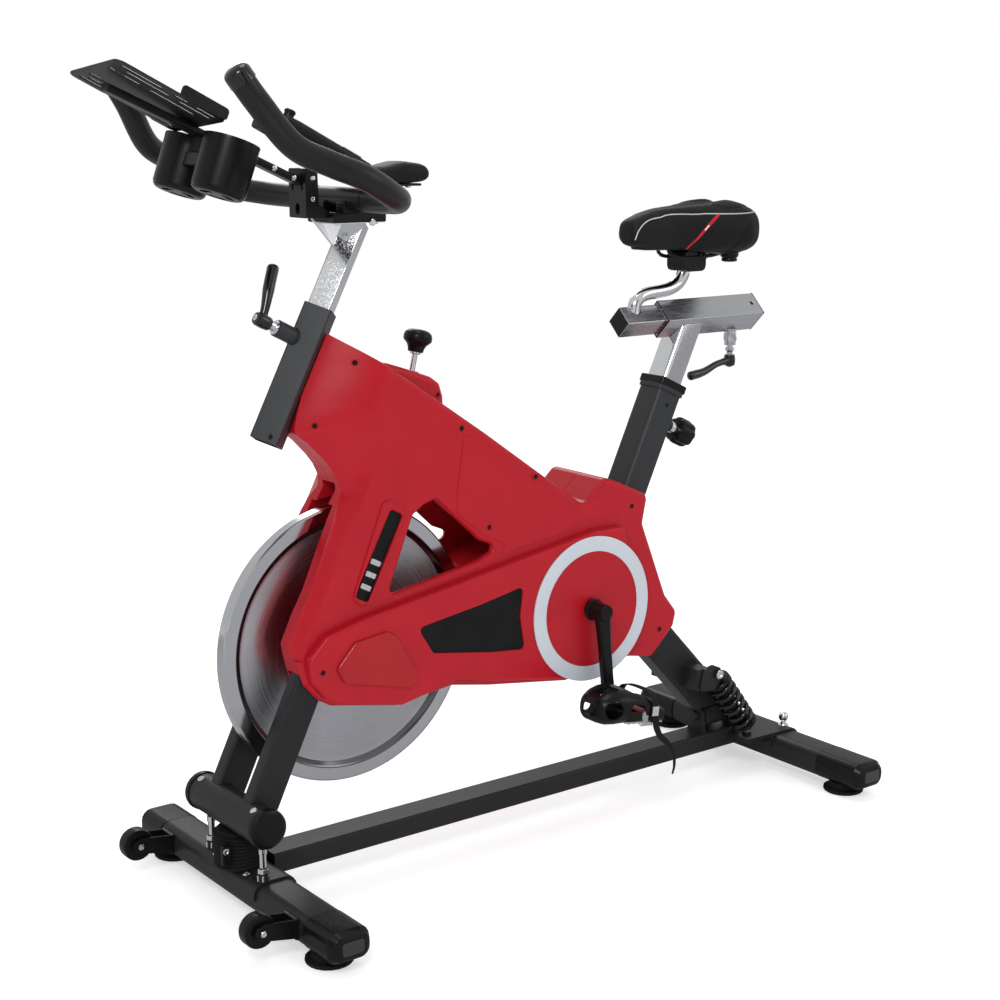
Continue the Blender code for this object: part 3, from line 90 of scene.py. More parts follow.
def add_node(tree, kind, **values):
    """A new node; each value is set on the input of that name, with _ for a space."""
    node = tree.nodes.new(kind)
    for name, value in values.items():
        node.inputs[name.replace("_", " ")].default_value = value
    return node


def link(tree, *pairs):
    for start, end in pairs:
        tree.links.new(start, end)


def surface(name, colour, rough, metal=0.0, vary=0.06, rough_vary=0.08, grain=900, bump=0.02,
            stretch=(1, 1, 1), coat=0.0, spec=0.5, patch=14, slot=None):
    """A Principled material whose colour, roughness and bump come from noise in object space.

    grain and patch are noise scales, bump is a height in millimetres, and slot is the record's material
    slot for pieces in this finish, noted in SLOTS.
    """
    made = bpy.data.materials.new(name)
    made.use_nodes = True
    SLOTS[name] = slot
    tree = made.node_tree
    shader = tree.nodes["Principled BSDF"].inputs
    for socket, value in (("Metallic", metal), ("Coat Weight", coat), ("Coat Roughness", 0.12),
                          ("Specular IOR Level", spec)):
        shader[socket].default_value = value
    place = add_node(tree, "ShaderNodeTexCoord")
    scale = add_node(tree, "ShaderNodeMapping", Scale=stretch)
    blotch = add_node(tree, "ShaderNodeTexNoise", Scale=patch, Detail=4)
    fine = add_node(tree, "ShaderNodeTexNoise", Scale=grain, Detail=3)
    ramp = add_node(tree, "ShaderNodeValToRGB")
    for stop, spot, change in zip(ramp.color_ramp.elements, (0.3, 0.7), (-vary, vary)):
        stop.position = spot
        stop.color = tuple(min(1.0, c * (1 + change)) for c in colour) + (1,)
    spread = add_node(tree, "ShaderNodeMapRange", From_Min=0.3, From_Max=0.7,
                      To_Min=max(0.0, rough - rough_vary), To_Max=min(1.0, rough + rough_vary))
    relief = add_node(tree, "ShaderNodeBump", Strength=1, Distance=bump * 0.001)
    link(tree, (place.outputs["Object"], scale.inputs["Vector"]),
         (scale.outputs["Vector"], blotch.inputs["Vector"]),
         (scale.outputs["Vector"], fine.inputs["Vector"]),
         (blotch.outputs["Fac"], ramp.inputs["Fac"]), (ramp.outputs["Color"], shader["Base Color"]),
         (fine.outputs["Fac"], spread.inputs["Value"]),
         (spread.outputs["Result"], shader["Roughness"]),
         (fine.outputs["Fac"], relief.inputs["Height"]),
         (relief.outputs["Normal"], shader["Normal"]))
    return made


def turned_metal(name, colour, rough, rings, anisotropy):
    """Metal with fine circular machining marks about a Y axis through the object's own origin."""
    made = surface(name, colour, rough, metal=1.0, vary=0.04, rough_vary=0.05, grain=300, bump=0.0,
                   slot="brushed_steel")
    tree = made.node_tree
    shader = tree.nodes["Principled BSDF"].inputs
    shader["Anisotropic"].default_value = anisotropy
    tangent = add_node(tree, "ShaderNodeTangent")
    tangent.direction_type = "RADIAL"
    tangent.axis = "Y"
    place = add_node(tree, "ShaderNodeTexCoord")
    flat = add_node(tree, "ShaderNodeVectorMath")
    flat.operation = "MULTIPLY"
    flat.inputs[1].default_value = (1, 0, 1)
    reach = add_node(tree, "ShaderNodeVectorMath")
    reach.operation = "LENGTH"
    marks = add_node(tree, "ShaderNodeTexNoise", Scale=rings, Detail=4)
    marks.noise_dimensions = "1D"
    relief = add_node(tree, "ShaderNodeBump", Strength=1, Distance=0.00002)
    spread = add_node(tree, "ShaderNodeMapRange", From_Min=0.25, From_Max=0.75,
                      To_Min=rough * 0.7, To_Max=rough * 1.4)
    link(tree, (tangent.outputs["Tangent"], shader["Tangent"]),
         (place.outputs["Object"], flat.inputs[0]), (flat.outputs["Vector"], reach.inputs[0]),
         (reach.outputs["Value"], marks.inputs["W"]), (marks.outputs["Fac"], relief.inputs["Height"]),
         (relief.outputs["Normal"], shader["Normal"]), (marks.outputs["Fac"], spread.inputs["Value"]),
         (spread.outputs["Result"], shader["Roughness"]))
    return made


RED = surface("satin_red", (0.41, 0.007, 0.016), 0.32, vary=0.05, grain=1400, bump=0.05, spec=0.22,
              slot="red_plastic")
DEEP_RED = surface("badge_red", (0.36, 0.009, 0.012), 0.22, vary=0.04, bump=0.02, spec=0.35,
                   slot="red_plastic")
PAINT = surface("frame_grey", (0.018, 0.0185, 0.02), 0.38, metal=0.15, grain=1600, bump=0.06,
                spec=0.28, slot="frame_paint")
SLEEVE = surface("sleeve_grey", (0.034, 0.036, 0.039), 0.42, metal=0.25, grain=1600, bump=0.06,
                 spec=0.3)
BLACK = surface("black_gloss", (0.005, 0.005, 0.0055), 0.28, vary=0.1, grain=700, bump=0.03,
                spec=0.22, slot="black_plastic")
MATT = surface("black_matt", (0.0085, 0.0085, 0.009), 0.55, vary=0.1, grain=1100, bump=0.1,
               spec=0.14, slot="black_plastic")
RUBBER = surface("black_rubber_skin", (0.0095, 0.0095, 0.01), 0.72, vary=0.15, grain=800,
                 bump=0.15, spec=0.12, slot="black_rubber")
CHROME = surface("polished_chrome", (0.8, 0.81, 0.83), 0.08, metal=1.0, vary=0.02, rough_vary=0.04,
                 grain=300, bump=0.004, slot="chrome")
STEEL = surface("brushed_bar", (0.55, 0.56, 0.58), 0.3, metal=1.0, rough_vary=0.1, grain=260,
                stretch=(0.12, 1, 6), patch=40, slot="brushed_steel")
COVER = surface("saddle_grain", (0.0095, 0.0095, 0.01), 0.5, vary=0.15, grain=650, bump=0.25,
                spec=0.16, slot="saddle_cover")
RING = surface("pale_ring", (0.56, 0.6, 0.66), 0.38, metal=0.1, vary=0.02, grain=1400, bump=0.03,
               slot="red_plastic")
SILVER = surface("silver_trim", (0.62, 0.63, 0.65), 0.28, metal=0.7, vary=0.03, bump=0.03,
                 slot="brushed_steel")
WHITE = surface("pale_mark", (0.8, 0.8, 0.8), 0.45, vary=0.02, bump=0.03, slot="saddle_cover")
PIPING = surface("grey_piping", (0.5, 0.51, 0.52), 0.4, vary=0.05, grain=1200, bump=0.08,
                 slot="saddle_cover")
STRIPE = surface("red_stripe", (0.48, 0.012, 0.02), 0.48, vary=0.08, grain=650, bump=0.2, spec=0.2,
                 slot="saddle_cover")
GLOSS = surface("black_lens", (0.02, 0.021, 0.023), 0.1, vary=0.05, grain=300, bump=0.005, coat=0.6,
                spec=0.35, slot="black_plastic")
GLOSS_BLACK = surface("spring_gloss", (0.006, 0.006, 0.0065), 0.12, vary=0.1, grain=400, bump=0.01,
                      coat=0.6, spec=0.3, slot="black_plastic")
GRIP = surface("bar_skin", (0.008, 0.008, 0.0085), 0.34, vary=0.08, grain=1300, bump=0.06,
               spec=0.34, slot="black_rubber")
PERFORATED = surface("perforated_cover", (0.011, 0.011, 0.012), 0.5, vary=0.25, grain=330, bump=0.5,
                     spec=0.12, slot="saddle_cover")
PANEL_MESH = surface("panel_mesh", (0.008, 0.008, 0.009), 0.6, vary=0.3, grain=1500, bump=0.6,
                     spec=0.15, slot="black_plastic")
WHEEL_RIM = turned_metal("wheel_rim_polish", (0.62, 0.63, 0.65), 0.14, 700, 0.2)
WHEEL_FACE = turned_metal("wheel_face_brushed", (0.58, 0.59, 0.62), 0.34, 420, 0.85)
WHEEL_SHOULDER = turned_metal("wheel_shoulder", (0.16, 0.165, 0.17), 0.16, 700, 0.2)


# ---- shading modifiers --------------------------------------------------------------------
def smooth_group(angle):
    """A node group that smooths a mesh and keeps its edges above an angle sharp."""
    name = f"smooth_by_{round(angle)}"
    if name in bpy.data.node_groups:
        return bpy.data.node_groups[name]
    tree = bpy.data.node_groups.new(name, "GeometryNodeTree")
    tree.interface.new_socket("Geometry", in_out="INPUT", socket_type="NodeSocketGeometry")
    tree.interface.new_socket("Geometry", in_out="OUTPUT", socket_type="NodeSocketGeometry")
    start, end = add_node(tree, "NodeGroupInput"), add_node(tree, "NodeGroupOutput")
    faces = add_node(tree, "GeometryNodeSetShadeSmooth")
    edges = add_node(tree, "GeometryNodeSetShadeSmooth", Shade_Smooth=False)
    edges.domain = "EDGE"
    turn = add_node(tree, "GeometryNodeInputMeshEdgeAngle")
    over = add_node(tree, "FunctionNodeCompare")
    over.operation = "GREATER_THAN"
    over.inputs[1].default_value = math.radians(angle)
    link(tree, (start.outputs[0], faces.inputs["Geometry"]),
         (faces.outputs["Geometry"], edges.inputs["Geometry"]),
         (turn.outputs["Unsigned Angle"], over.inputs[0]),
         (over.outputs["Result"], edges.inputs["Selection"]),
         (edges.outputs["Geometry"], end.inputs[0]))
    return tree


def shade(obj, angle=32.0, weighted=True):
    group = obj.modifiers.new("smooth", "NODES")
    group.node_group = smooth_group(angle)
    if weighted:
        normals = obj.modifiers.new("normals", "WEIGHTED_NORMAL")
        normals.keep_sharp = True
    return obj


def soften(obj, width, segments):
    """Rounds an object's edges and smooths what is left."""
    bevel = obj.modifiers.new("edges", "BEVEL")
    bevel.width = width
    bevel.segments = segments
    bevel.limit_method = "ANGLE"
    bevel.angle_limit = math.radians(30)
    bevel.miter_outer = "MITER_ARC"
    return shade(obj)


def dress(node, paint, width, segments):
    """Gives a CAD node its finish: a material, rounded edges and smooth curved faces."""
    obj = NODES[node]
    for slot in obj.material_slots:
        slot.material = paint
    found = obj.data.attributes.get("custom_normal")
    if found:
        obj.data.attributes.remove(found)
    weld = obj.modifiers.new("weld", "WELD")
    weld.merge_threshold = 0.00002
    flat = obj.modifiers.new("flat", "DECIMATE")
    flat.decimate_type = "DISSOLVE"
    flat.angle_limit = math.radians(0.6)
    soften(obj, width, segments) if width else shade(obj)


# ---- mesh builders ------------------------------------------------------------------------
def piece(name, mesh, paint, body, slot="", stands_for=()):
    """Turns a bmesh into a named piece that rides on a body; the slot it looks up from its finish, unless
    given one, is not stored.
    """
    bmesh.ops.recalc_face_normals(mesh, faces=mesh.faces)
    data = bpy.data.meshes.new(name)
    mesh.to_mesh(data)
    mesh.free()
    obj = bpy.data.objects.new(name, data)
    bpy.context.scene.collection.objects.link(obj)
    data.materials.append(paint)
    if body:
        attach(obj, body)
        slot = slot if slot != "" else SLOTS[paint.name]
    if stands_for:
        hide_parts(*stands_for)
    return obj


def offset(points, distance):
    """An outline moved inwards by a distance (outwards if negative)."""
    area = sum(a[0] * b[1] - b[0] * a[1] for a, b in zip(points, points[1:] + points[:1]))
    turn = 1 if area > 0 else -1
    moved = []
    for i, here in enumerate(points):
        before, after = points[i - 1], points[(i + 1) % len(points)]
        a = Vector((here[0] - before[0], here[1] - before[1])).normalized()
        b = Vector((after[0] - here[0], after[1] - here[1])).normalized()
        na, nb = Vector((-a.y, a.x)) * turn, Vector((-b.y, b.x)) * turn
        middle = na + nb
        if middle.length < 1e-6:
            middle = na
        middle.normalize()
        moved.append((here[0] + middle.x * distance / max(0.4, middle.dot(na)),
                      here[1] + middle.y * distance / max(0.4, middle.dot(na))))
    return moved


def filleted(points, radius, steps=5):
    """An outline with its corners rounded."""
    made = []
    for i, here in enumerate(points):
        p = Vector(here)
        a = Vector(points[i - 1]) - p
        b = Vector(points[(i + 1) % len(points)]) - p
        reach_a, reach_b = a.length, b.length
        a.normalize()
        b.normalize()
        half = math.acos(max(-1, min(1, a.dot(b)))) / 2
        if half > math.radians(86):
            made.append(tuple(p))
            continue
        cut = min(radius / math.tan(half), reach_a * 0.45, reach_b * 0.45)
        r = cut * math.tan(half)
        centre = p + (a + b).normalized() * (r / math.sin(half))
        start, end = p + a * cut - centre, p + b * cut - centre
        sweep = math.pi - 2 * half
        side = 1 if start.x * end.y - start.y * end.x > 0 else -1
        for k in range(steps + 1):
            t = side * sweep * k / steps
            c, s = math.cos(t), math.sin(t)
            made.append((centre.x + start.x * c - start.y * s, centre.y + start.x * s + start.y * c))
    return made


def slab(name, outline, low, high, paint, body, holes=(), round_low=0.0, round_high=0.0, steps=4,
         place=None, **kw):
    """An outline in X and Z, thick from low to high along Y, with rounded rims; place(x, y, z) moves it."""
    place = place or (lambda x, y, z: Vector((x, y, z)))
    levels = []
    for k in range(steps + 1 if round_low else 1):
        a = k / steps * math.pi / 2
        levels.append((round_low * (1 - math.sin(a)), low + round_low * (1 - math.cos(a))))
    for k in range(steps + 1 if round_high else 1):
        a = (steps - k) / steps * math.pi / 2
        levels.append((round_high * (1 - math.sin(a)), high - round_high * (1 - math.cos(a))))
    mesh = bmesh.new()
    loops = [list(outline)] + [list(h) for h in holes]
    ends = [[], []]
    for number, loop in enumerate(loops):
        rows = []
        for inset, y in levels:
            moved = offset(loop, inset if number == 0 else -inset) if inset else loop
            rows.append([mesh.verts.new(place(x, y, z)) for x, z in moved])
        count = len(loop)
        for a, b in zip(rows, rows[1:]):
            for i in range(count):
                mesh.faces.new((a[i], a[(i + 1) % count], b[(i + 1) % count], b[i]))
        ends[0].append(rows[0])
        ends[1].append(rows[-1])
    for rows, (inset, _) in zip(ends, (levels[0], levels[-1])):
        flat = []
        for number, loop in enumerate(loops):
            moved = offset(loop, inset if number == 0 else -inset) if inset else loop
            flat.append([Vector((x, z, 0)) for x, z in moved])
        verts = [v for row in rows for v in row]
        for tri in tessellate_polygon(flat):
            try:
                mesh.faces.new([verts[i] for i in tri])
            except ValueError:
                pass
    bmesh.ops.dissolve_limit(mesh, angle_limit=0.002, verts=mesh.verts, edges=mesh.edges)
    return shade(piece(name, mesh, paint, body, **kw))


def side_slab(name, side, outline, inner, outer, paint, body, rim=0.0, **kw):
    """A slab on one side of the bike, from inner to outer off the middle, its outer rim rounded."""
    low, high = sorted((side * inner, side * outer))
    return slab(name, outline, low, high, paint, body, round_low=rim if side < 0 else 0,
                round_high=rim if side > 0 else 0, **kw)


def frame_of(axis):
    """Two directions square to an axis."""
    axis = Vector(axis).normalized()
    side = axis.cross(Y if abs(axis.dot(Y)) < 0.9 else X).normalized()
    return side, axis.cross(side).normalized()


def lathe(name, origin, axis, profile, paint, body, steps=64, limit=32.0, weighted=True, **kw):
    """A turned piece: profile is (along, radius) pairs from end to end, on the axis at 0 radius."""
    origin, axis = Vector(origin), Vector(axis).normalized()
    a, b = frame_of(axis)
    mesh = bmesh.new()
    rows = []
    for along, radius in profile:
        if radius < 1e-6:
            rows.append([mesh.verts.new(origin + axis * along)])
            continue
        rows.append([mesh.verts.new(origin + axis * along
                                    + (a * math.cos(t) + b * math.sin(t)) * radius)
                     for t in (2 * math.pi * i / steps for i in range(steps))])
    closed = profile[0][1] > 1e-6 and profile[-1][1] > 1e-6
    pairs = list(zip(rows, rows[1:])) + ([(rows[-1], rows[0])] if closed else [])
    for low, high in pairs:
        for i in range(steps):
            j = (i + 1) % steps
            if len(low) == 1 and len(high) == 1:
                continue
            if len(low) == 1:
                mesh.faces.new((low[0], high[i], high[j]))
            elif len(high) == 1:
                mesh.faces.new((low[i], low[j], high[0]))
            else:
                mesh.faces.new((low[i], low[j], high[j], high[i]))
    return shade(piece(name, mesh, paint, body, **kw), limit, weighted)


def smooth_path(points, steps):
    """A Catmull-Rom curve through points, with steps between each pair."""
    points = [Vector(p) for p in points]
    ends = [2 * points[0] - points[1], *points, 2 * points[-1] - points[-2]]
    made = []
    for i in range(1, len(ends) - 2):
        p0, p1, p2, p3 = ends[i - 1:i + 3]
        for k in range(steps):
            t = k / steps
            made.append(0.5 * (2 * p1 + (p2 - p0) * t + (2 * p0 - 5 * p1 + 4 * p2 - p3) * t * t
                               + (3 * p1 - p0 - 3 * p2 + p3) * t ** 3))
    made.append(points[-1])
    return made


def sweep(name, path, radius, paint, body, sides=24, steps=6, closed=False, outline=None,
          dome=0.0, up=None, limit=40.0, **kw):
    """A tube along a path; radius is a number or a function of 0..1; outline replaces its circle."""
    line = smooth_path(path, steps) if steps else [Vector(p) for p in path]
    shape = outline or [(math.cos(2 * math.pi * i / sides), math.sin(2 * math.pi * i / sides))
                        for i in range(sides)]
    size = radius if callable(radius) else (lambda t: radius)
    count = len(line)
    ways = []
    for i in range(count):
        before = line[i - 1] if i or closed else line[0]
        after = line[(i + 1) % count] if i < count - 1 or closed else line[-1]
        ways.append((after - before).normalized())
    side = (ways[0].cross(up).normalized() if up else frame_of(ways[0])[0])
    mesh = bmesh.new()
    rows = []
    for i, (p, way) in enumerate(zip(line, ways)):
        side = (side - way * side.dot(way)).normalized()
        other = way.cross(side)
        r = size(i / max(1, count - 1))
        rows.append([mesh.verts.new(p + (side * a + other * b) * r) for a, b in shape])
    pairs = list(zip(rows, rows[1:])) + ([(rows[-1], rows[0])] if closed else [])
    n = len(shape)
    for low, high in pairs:
        for i in range(n):
            mesh.faces.new((low[i], low[(i + 1) % n], high[(i + 1) % n], high[i]))
    if not closed:
        for row, p, way in ((rows[0], line[0], -ways[0]), (rows[-1], line[-1], ways[-1])):
            last = row
            for k in (1, 2, 3) if dome else ():
                t = k / 4 * math.pi / 2
                ring = [mesh.verts.new(p + (v.co - p) * math.cos(t) + way * dome * math.sin(t))
                        for v in row]
                for i in range(n):
                    mesh.faces.new((last[i], last[(i + 1) % n], ring[(i + 1) % n], ring[i]))
                last = ring
            mesh.faces.new(last)
    return shade(piece(name, mesh, paint, body, **kw), limit, weighted=False)


def rounded(width, height, radius, steps=4):
    """A rounded rectangle about the origin."""
    w, h = width / 2, height / 2
    return filleted([(-w, -h), (w, -h), (w, h), (-w, h)], radius, steps)


def block(name, centre, size, paint, body, soft=0.002, turn=None, **kw):
    """A box with rounded edges, turned by a matrix if one is given."""
    mesh = bmesh.new()
    bmesh.ops.create_cube(mesh, size=1.0)
    move = Matrix.Translation(centre) @ (turn or Matrix.Identity(4)) @ Matrix.Diagonal((*size, 1))
    bmesh.ops.transform(mesh, matrix=move, verts=mesh.verts)
    return soften(piece(name, mesh, paint, body, **kw), soft, 3)


def apply_all(obj):
    """Replaces an object's mesh with what its modifiers make of it."""
    depsgraph = bpy.context.evaluated_depsgraph_get()
    made = bpy.data.meshes.new_from_object(obj.evaluated_get(depsgraph))
    obj.modifiers.clear()
    obj.data = made
    return obj


def carve(obj, *tools):
    """Cuts tools out of obj, and removes them."""
    for tool in tools:
        mod = obj.modifiers.new("cut", "BOOLEAN")
        mod.operation = "DIFFERENCE"
        mod.solver = "EXACT"
        mod.object = tool
        apply_all(obj)
        bpy.data.objects.remove(tool)
    return obj


def bare(obj):
    obj.modifiers.clear()
    return obj


def cutter(outline, low, high):
    return bare(slab("cutter", outline, low, high, RED, None))


def drum(origin, axis, half, radius, steps=48):
    return bare(lathe("cutter", Vector(origin) - Vector(axis) * half, axis,
                      [(0, 0), (0, radius), (2 * half, radius), (2 * half, 0)], RED, None, steps))


def screw(name, centre, axis, body, radius=0.004, paint=CHROME, height=0.002, hexed=False):
    """A screw or bolt head standing on a face, with a socket or hexed."""
    if hexed:
        rim = [(0, 0), (0, radius), (height * 0.85, radius), (height, radius * 0.86), (height, 0)]
        return lathe(name, centre, axis, rim, paint, body, 6, limit=20, slot=None)
    r = radius
    profile = [(0, 0), (0, r), (height * 0.6, r), (height * 0.92, r * 0.86), (height, r * 0.62),
               (height, r * 0.45), (height * 0.35, r * 0.42), (height * 0.35, 0)]
    return lathe(name, centre, axis, profile, paint, body, 28, slot=None)


def recess(name, centre, axis, body, radius=0.0045, lip=RED):
    """A moulded screw recess: a raised lip round a shallow well painted black as painted shade, standing
    for the dark depth of the hole.
    """
    r = radius
    profile = [(0.0007, 0), (0.0007, r * 0.96), (0.0011, r), (0.0014, r * 1.1), (0.0008, r * 1.26),
               (-0.001, r * 1.34), (-0.001, 0)]
    made = lathe(name, centre, axis, profile, lip, body, 28, slot="red_plastic")
    made.data.materials.append(RUBBER)
    middle = Vector(centre)
    # Painted shade: the well's faces take black rubber, standing for the shade down the screw hole.
    for poly in made.data.polygons:
        if (poly.center - middle).length < r * 0.97:
            poly.material_index = 1
    return made


# ---- stage --------------------------------------------------------------------------------
SUBJECT = Vector((0, 0, 0.55))
CAMERA_SPOT, CAMERA_PITCH, CAMERA_YAW = (-1.8161, -2.4289, 1.2612), 78.0359, -37.1501


def sheet(name, half, paint):
    """A flat square for the stage."""
    mesh = bmesh.new()
    bmesh.ops.create_grid(mesh, x_segments=1, y_segments=1, size=half)
    return piece(name, mesh, paint, None)


def build_stage():
    """A self-lit pale floor, a white backdrop, area lights, cards seen in reflections, the camera."""
    floor_paint = surface("pale_floor", (0.86, 0.86, 0.86), 0.9, vary=0.004, grain=200, bump=0,
                          spec=0)
    glow = floor_paint.node_tree.nodes["Principled BSDF"].inputs
    glow["Emission Color"].default_value = (1, 1, 1, 1)
    glow["Emission Strength"].default_value = 0.5
    floor = sheet("floor", 14.0, floor_paint)
    floor.location.z = -0.0006
    world = bpy.context.scene.world = bpy.data.worlds.new("studio")
    world.use_nodes = True
    sky = world.node_tree.nodes["Background"].inputs
    sky["Color"].default_value = (1, 1, 1, 1)
    sky["Strength"].default_value = 0.6
    for name, place, size, power in (
        ("key", (-2.9, -3.0, 3.6), 1.2, 70.0),
        ("fill", (2.8, -3.0, 2.4), 1.6, 14.0),
        ("back", (1.5, 3.4, 3.0), 1.8, 34.0),
        ("top", (0.0, 0.0, 4.2), 1.6, 22.0),
    ):
        light = bpy.data.lights.new(name, "AREA")
        light.energy = power
        light.size = size
        lamp = bpy.data.objects.new(name, light)
        bpy.context.scene.collection.objects.link(lamp)
        lamp.location = place
        aim = SUBJECT - Vector(place)
        lamp.rotation_euler = aim.to_track_quat("-Z", "Y").to_euler()
    white = bpy.data.materials.new("backdrop_white")
    white.use_nodes = True
    glow = white.node_tree.nodes["Principled BSDF"].inputs
    glow["Base Color"].default_value = (0, 0, 0, 1)
    glow["Specular IOR Level"].default_value = 0.0
    glow["Emission Color"].default_value = (1, 1, 1, 1)
    glow["Emission Strength"].default_value = 1.0
    mesh = bmesh.new()
    bmesh.ops.create_icosphere(mesh, subdivisions=4, radius=13.0)
    backdrop = piece("backdrop", mesh, white, None)
    backdrop.visible_diffuse = backdrop.visible_glossy = backdrop.visible_shadow = False
    backdrop.visible_transmission = backdrop.visible_volume_scatter = False
    dark, mid = (surface(name, colour, 0.9, vary=0, grain=100, bump=0, spec=0) for name, colour in
                 (("card_dark", (0.1, 0.1, 0.105)), ("card_mid", (0.52, 0.52, 0.54))))
    for name, place, turn, size in (
        ("floor", (0, 0, -0.0003), (0, 0, 0), (14.0, 14.0)),
        ("left", (-5.2, -1.6, 2.0), (90, 0, 65), (1.6, 5.0)),
        ("front", (-0.4, -5.6, 2.0), (90, 0, 5), (1.3, 5.0)),
        ("right", (4.6, -3.0, 2.0), (90, 0, -50), (1.6, 5.0)),
        ("back", (2.6, 5.0, 2.0), (90, 0, 30), (1.6, 5.0)),
        ("rear", (-4.2, 3.6, 2.0), (90, 0, -45), (1.6, 5.0)),
    ):
        card = sheet(f"card_{name}", 0.5, mid if name == "floor" else dark)
        card.location = place
        card.rotation_euler = [math.radians(a) for a in turn]
        card.scale = (size[0], size[1], 1)
        card.visible_camera = card.visible_diffuse = card.visible_shadow = False
        card.visible_transmission = card.visible_volume_scatter = False
    camera = bpy.data.objects.new("camera", bpy.data.cameras.new("camera"))
    bpy.context.scene.collection.objects.link(camera)
    camera.data.lens = 63.73
    camera.data.sensor_width = 36.0
    camera.location = CAMERA_SPOT
    camera.rotation_euler = (math.radians(CAMERA_PITCH), 0, math.radians(CAMERA_YAW))
    bpy.context.scene.camera = camera
    bpy.context.scene.view_settings.view_transform = "Standard"


# ---- carried-over nodes -------------------------------------------------------------------
def dress_nodes():
    """Every CAD node that stays in view gets a finish and rounded edges."""
    sides = [name for name, _ in SIDES]
    for paint, width, segments, nodes in (
        (PAINT, 0.0012, 2, ["base_beam", "front_stabiliser", "rear_stabiliser", "front_saddle",
                            "rear_saddle", "fork_leg_left", "fork_leg_right", "spine_tube", "rear_leg",
                            "side_rail_left", "side_rail_right", "pivot_tube"]),
        (SLEEVE, 0.001, 2, ["head_sleeve", "seat_sleeve"]),
        (BLACK, 0.003, 3, [f"{end}_cap_{side}" for end in ("front", "rear") for side in sides]),
        (BLACK, 0.0006, 2, [f"wheel_fork_{side}" for side in sides]),
        (RUBBER, 0.0008, 2, [f"{end}_foot_{side}" for end in ("front", "rear") for side in sides]),
        (RUBBER, 0, 2, ["drive_belt"]),
        (BLACK, 0.0008, 2, ["saddle_clamp"]),
        (BLACK, 0.002, 3, ["console"]),
        (CHROME, 0.0008, 2, ["handlebar_post", "seat_post", "brake_rod", "crank_axle"]),
        (STEEL, 0.0008, 2, ["slider_tube", "slider_bar"]),
        (WHEEL_FACE, 0, 2, ["flywheel_axle", "flywheel_pulley", "crank_pulley"]),
    ):
        for node in nodes:
            dress(node, paint, width, segments)


# ---- covers -------------------------------------------------------------------------------
def row(points):
    """Drawing points (x, z) brought to the frame's height."""
    return [(x, z - DROP) for x, z in points]


SHROUD_SIDE = 0.078
SHROUD = row([(-0.35, 0.956), (-0.28, 0.908), (-0.214, 0.866), (-0.063, 0.765), (0.155, 0.612),
              (0.203, 0.656), (0.234, 0.645), (0.306, 0.612), (0.295, 0.56), (0.354, 0.416),
              (0.383, 0.38), (0.376, 0.352), (0.323, 0.301), (0.266, 0.312), (0.117, 0.294),
              (-0.055, 0.319), (-0.134, 0.334), (-0.248, 0.321), (-0.375, 0.346), (-0.404, 0.363),
              (-0.428, 0.391), (-0.4375, 0.425), (-0.4435, 0.455), (-0.4239, 0.496),
              (-0.3993, 0.54), (-0.3714, 0.604), (-0.35, 0.65), (-0.337, 0.674), (-0.3255, 0.691),
              (-0.3295, 0.71), (-0.3404, 0.7295), (-0.3545, 0.747), (-0.38, 0.773), (-0.405,
                                                                                     0.793), ])
WINDOW = row([(-0.211, 0.642), (-0.189, 0.656), (-0.165, 0.663), (-0.075, 0.58), (-0.036, 0.564),
              (-0.076, 0.546), (-0.263, 0.513)])
SLOT = row([(-0.259, 0.66), (-0.235, 0.647), (-0.305, 0.51), (-0.33, 0.523)])
SLOT_FRAME = row([(-0.27, 0.682), (-0.227, 0.653), (-0.309, 0.5), (-0.336, 0.518)])
PANEL = row([(-0.218, 0.455), (-0.088, 0.474), (0.004, 0.492), (-0.003, 0.439), (0.007, 0.378),
             (-0.067, 0.386), (-0.187, 0.406)])
BADGE = row([(-0.28, 0.461), (-0.343, 0.453), (-0.379, 0.415), (-0.364, 0.388), (-0.233, 0.355),
             (-0.218, 0.374), (-0.26, 0.449)])
KNOB_BOSS = row([(-0.248, 0.872), (-0.242, 0.895), (-0.196, 0.88), (-0.146, 0.862), (-0.129, 0.85),
                 (-0.122, 0.828), (-0.12, 0.79), (-0.2, 0.84)])
HEAD_FOOT = at(-0.4415, 0, 0.7775)
HEAD_UP = Vector(JOINTS["handlebar_height"]["axis"]).normalized()
HEAD_FRONT = Vector((-HEAD_UP.z, 0, HEAD_UP.x))
SEAT_UP = Vector(JOINTS["seat_height"]["axis"]).normalized()
SEAT_BACK = Vector((SEAT_UP.z, 0, -SEAT_UP.x))
SEAT_REF = at(0.4005, 0, 0.787)
ROD_UP = -Vector(JOINTS["brake_push"]["axis"]).normalized()
KNOB_TOP = Vector(JOINTS["resistance_turn"]["pos_m"])


def head(along, out=0.0, y=0.0):
    return HEAD_FOOT + HEAD_UP * along + HEAD_FRONT * out + Y * y


def beam(start, end, outline, across):
    """A plain prism for cutting."""
    return bare(sweep("cutter", [start, end], 1.0, RED, None, outline=outline, steps=0, up=across))


def square(side):
    h = side / math.sqrt(2)
    return [(h, 0), (0, h), (-h, 0), (0, -h)]


def between(table, x):
    """The rest of a row of numbers at x, read along a table sorted by its first column."""
    if x <= table[0][0]:
        return table[0][1:]
    for a, b in zip(table, table[1:]):
        if x <= b[0]:
            t = (x - a[0]) / (b[0] - a[0])
            return [p + (q - p) * t for p, q in zip(a[1:], b[1:])]
    return table[-1][1:]


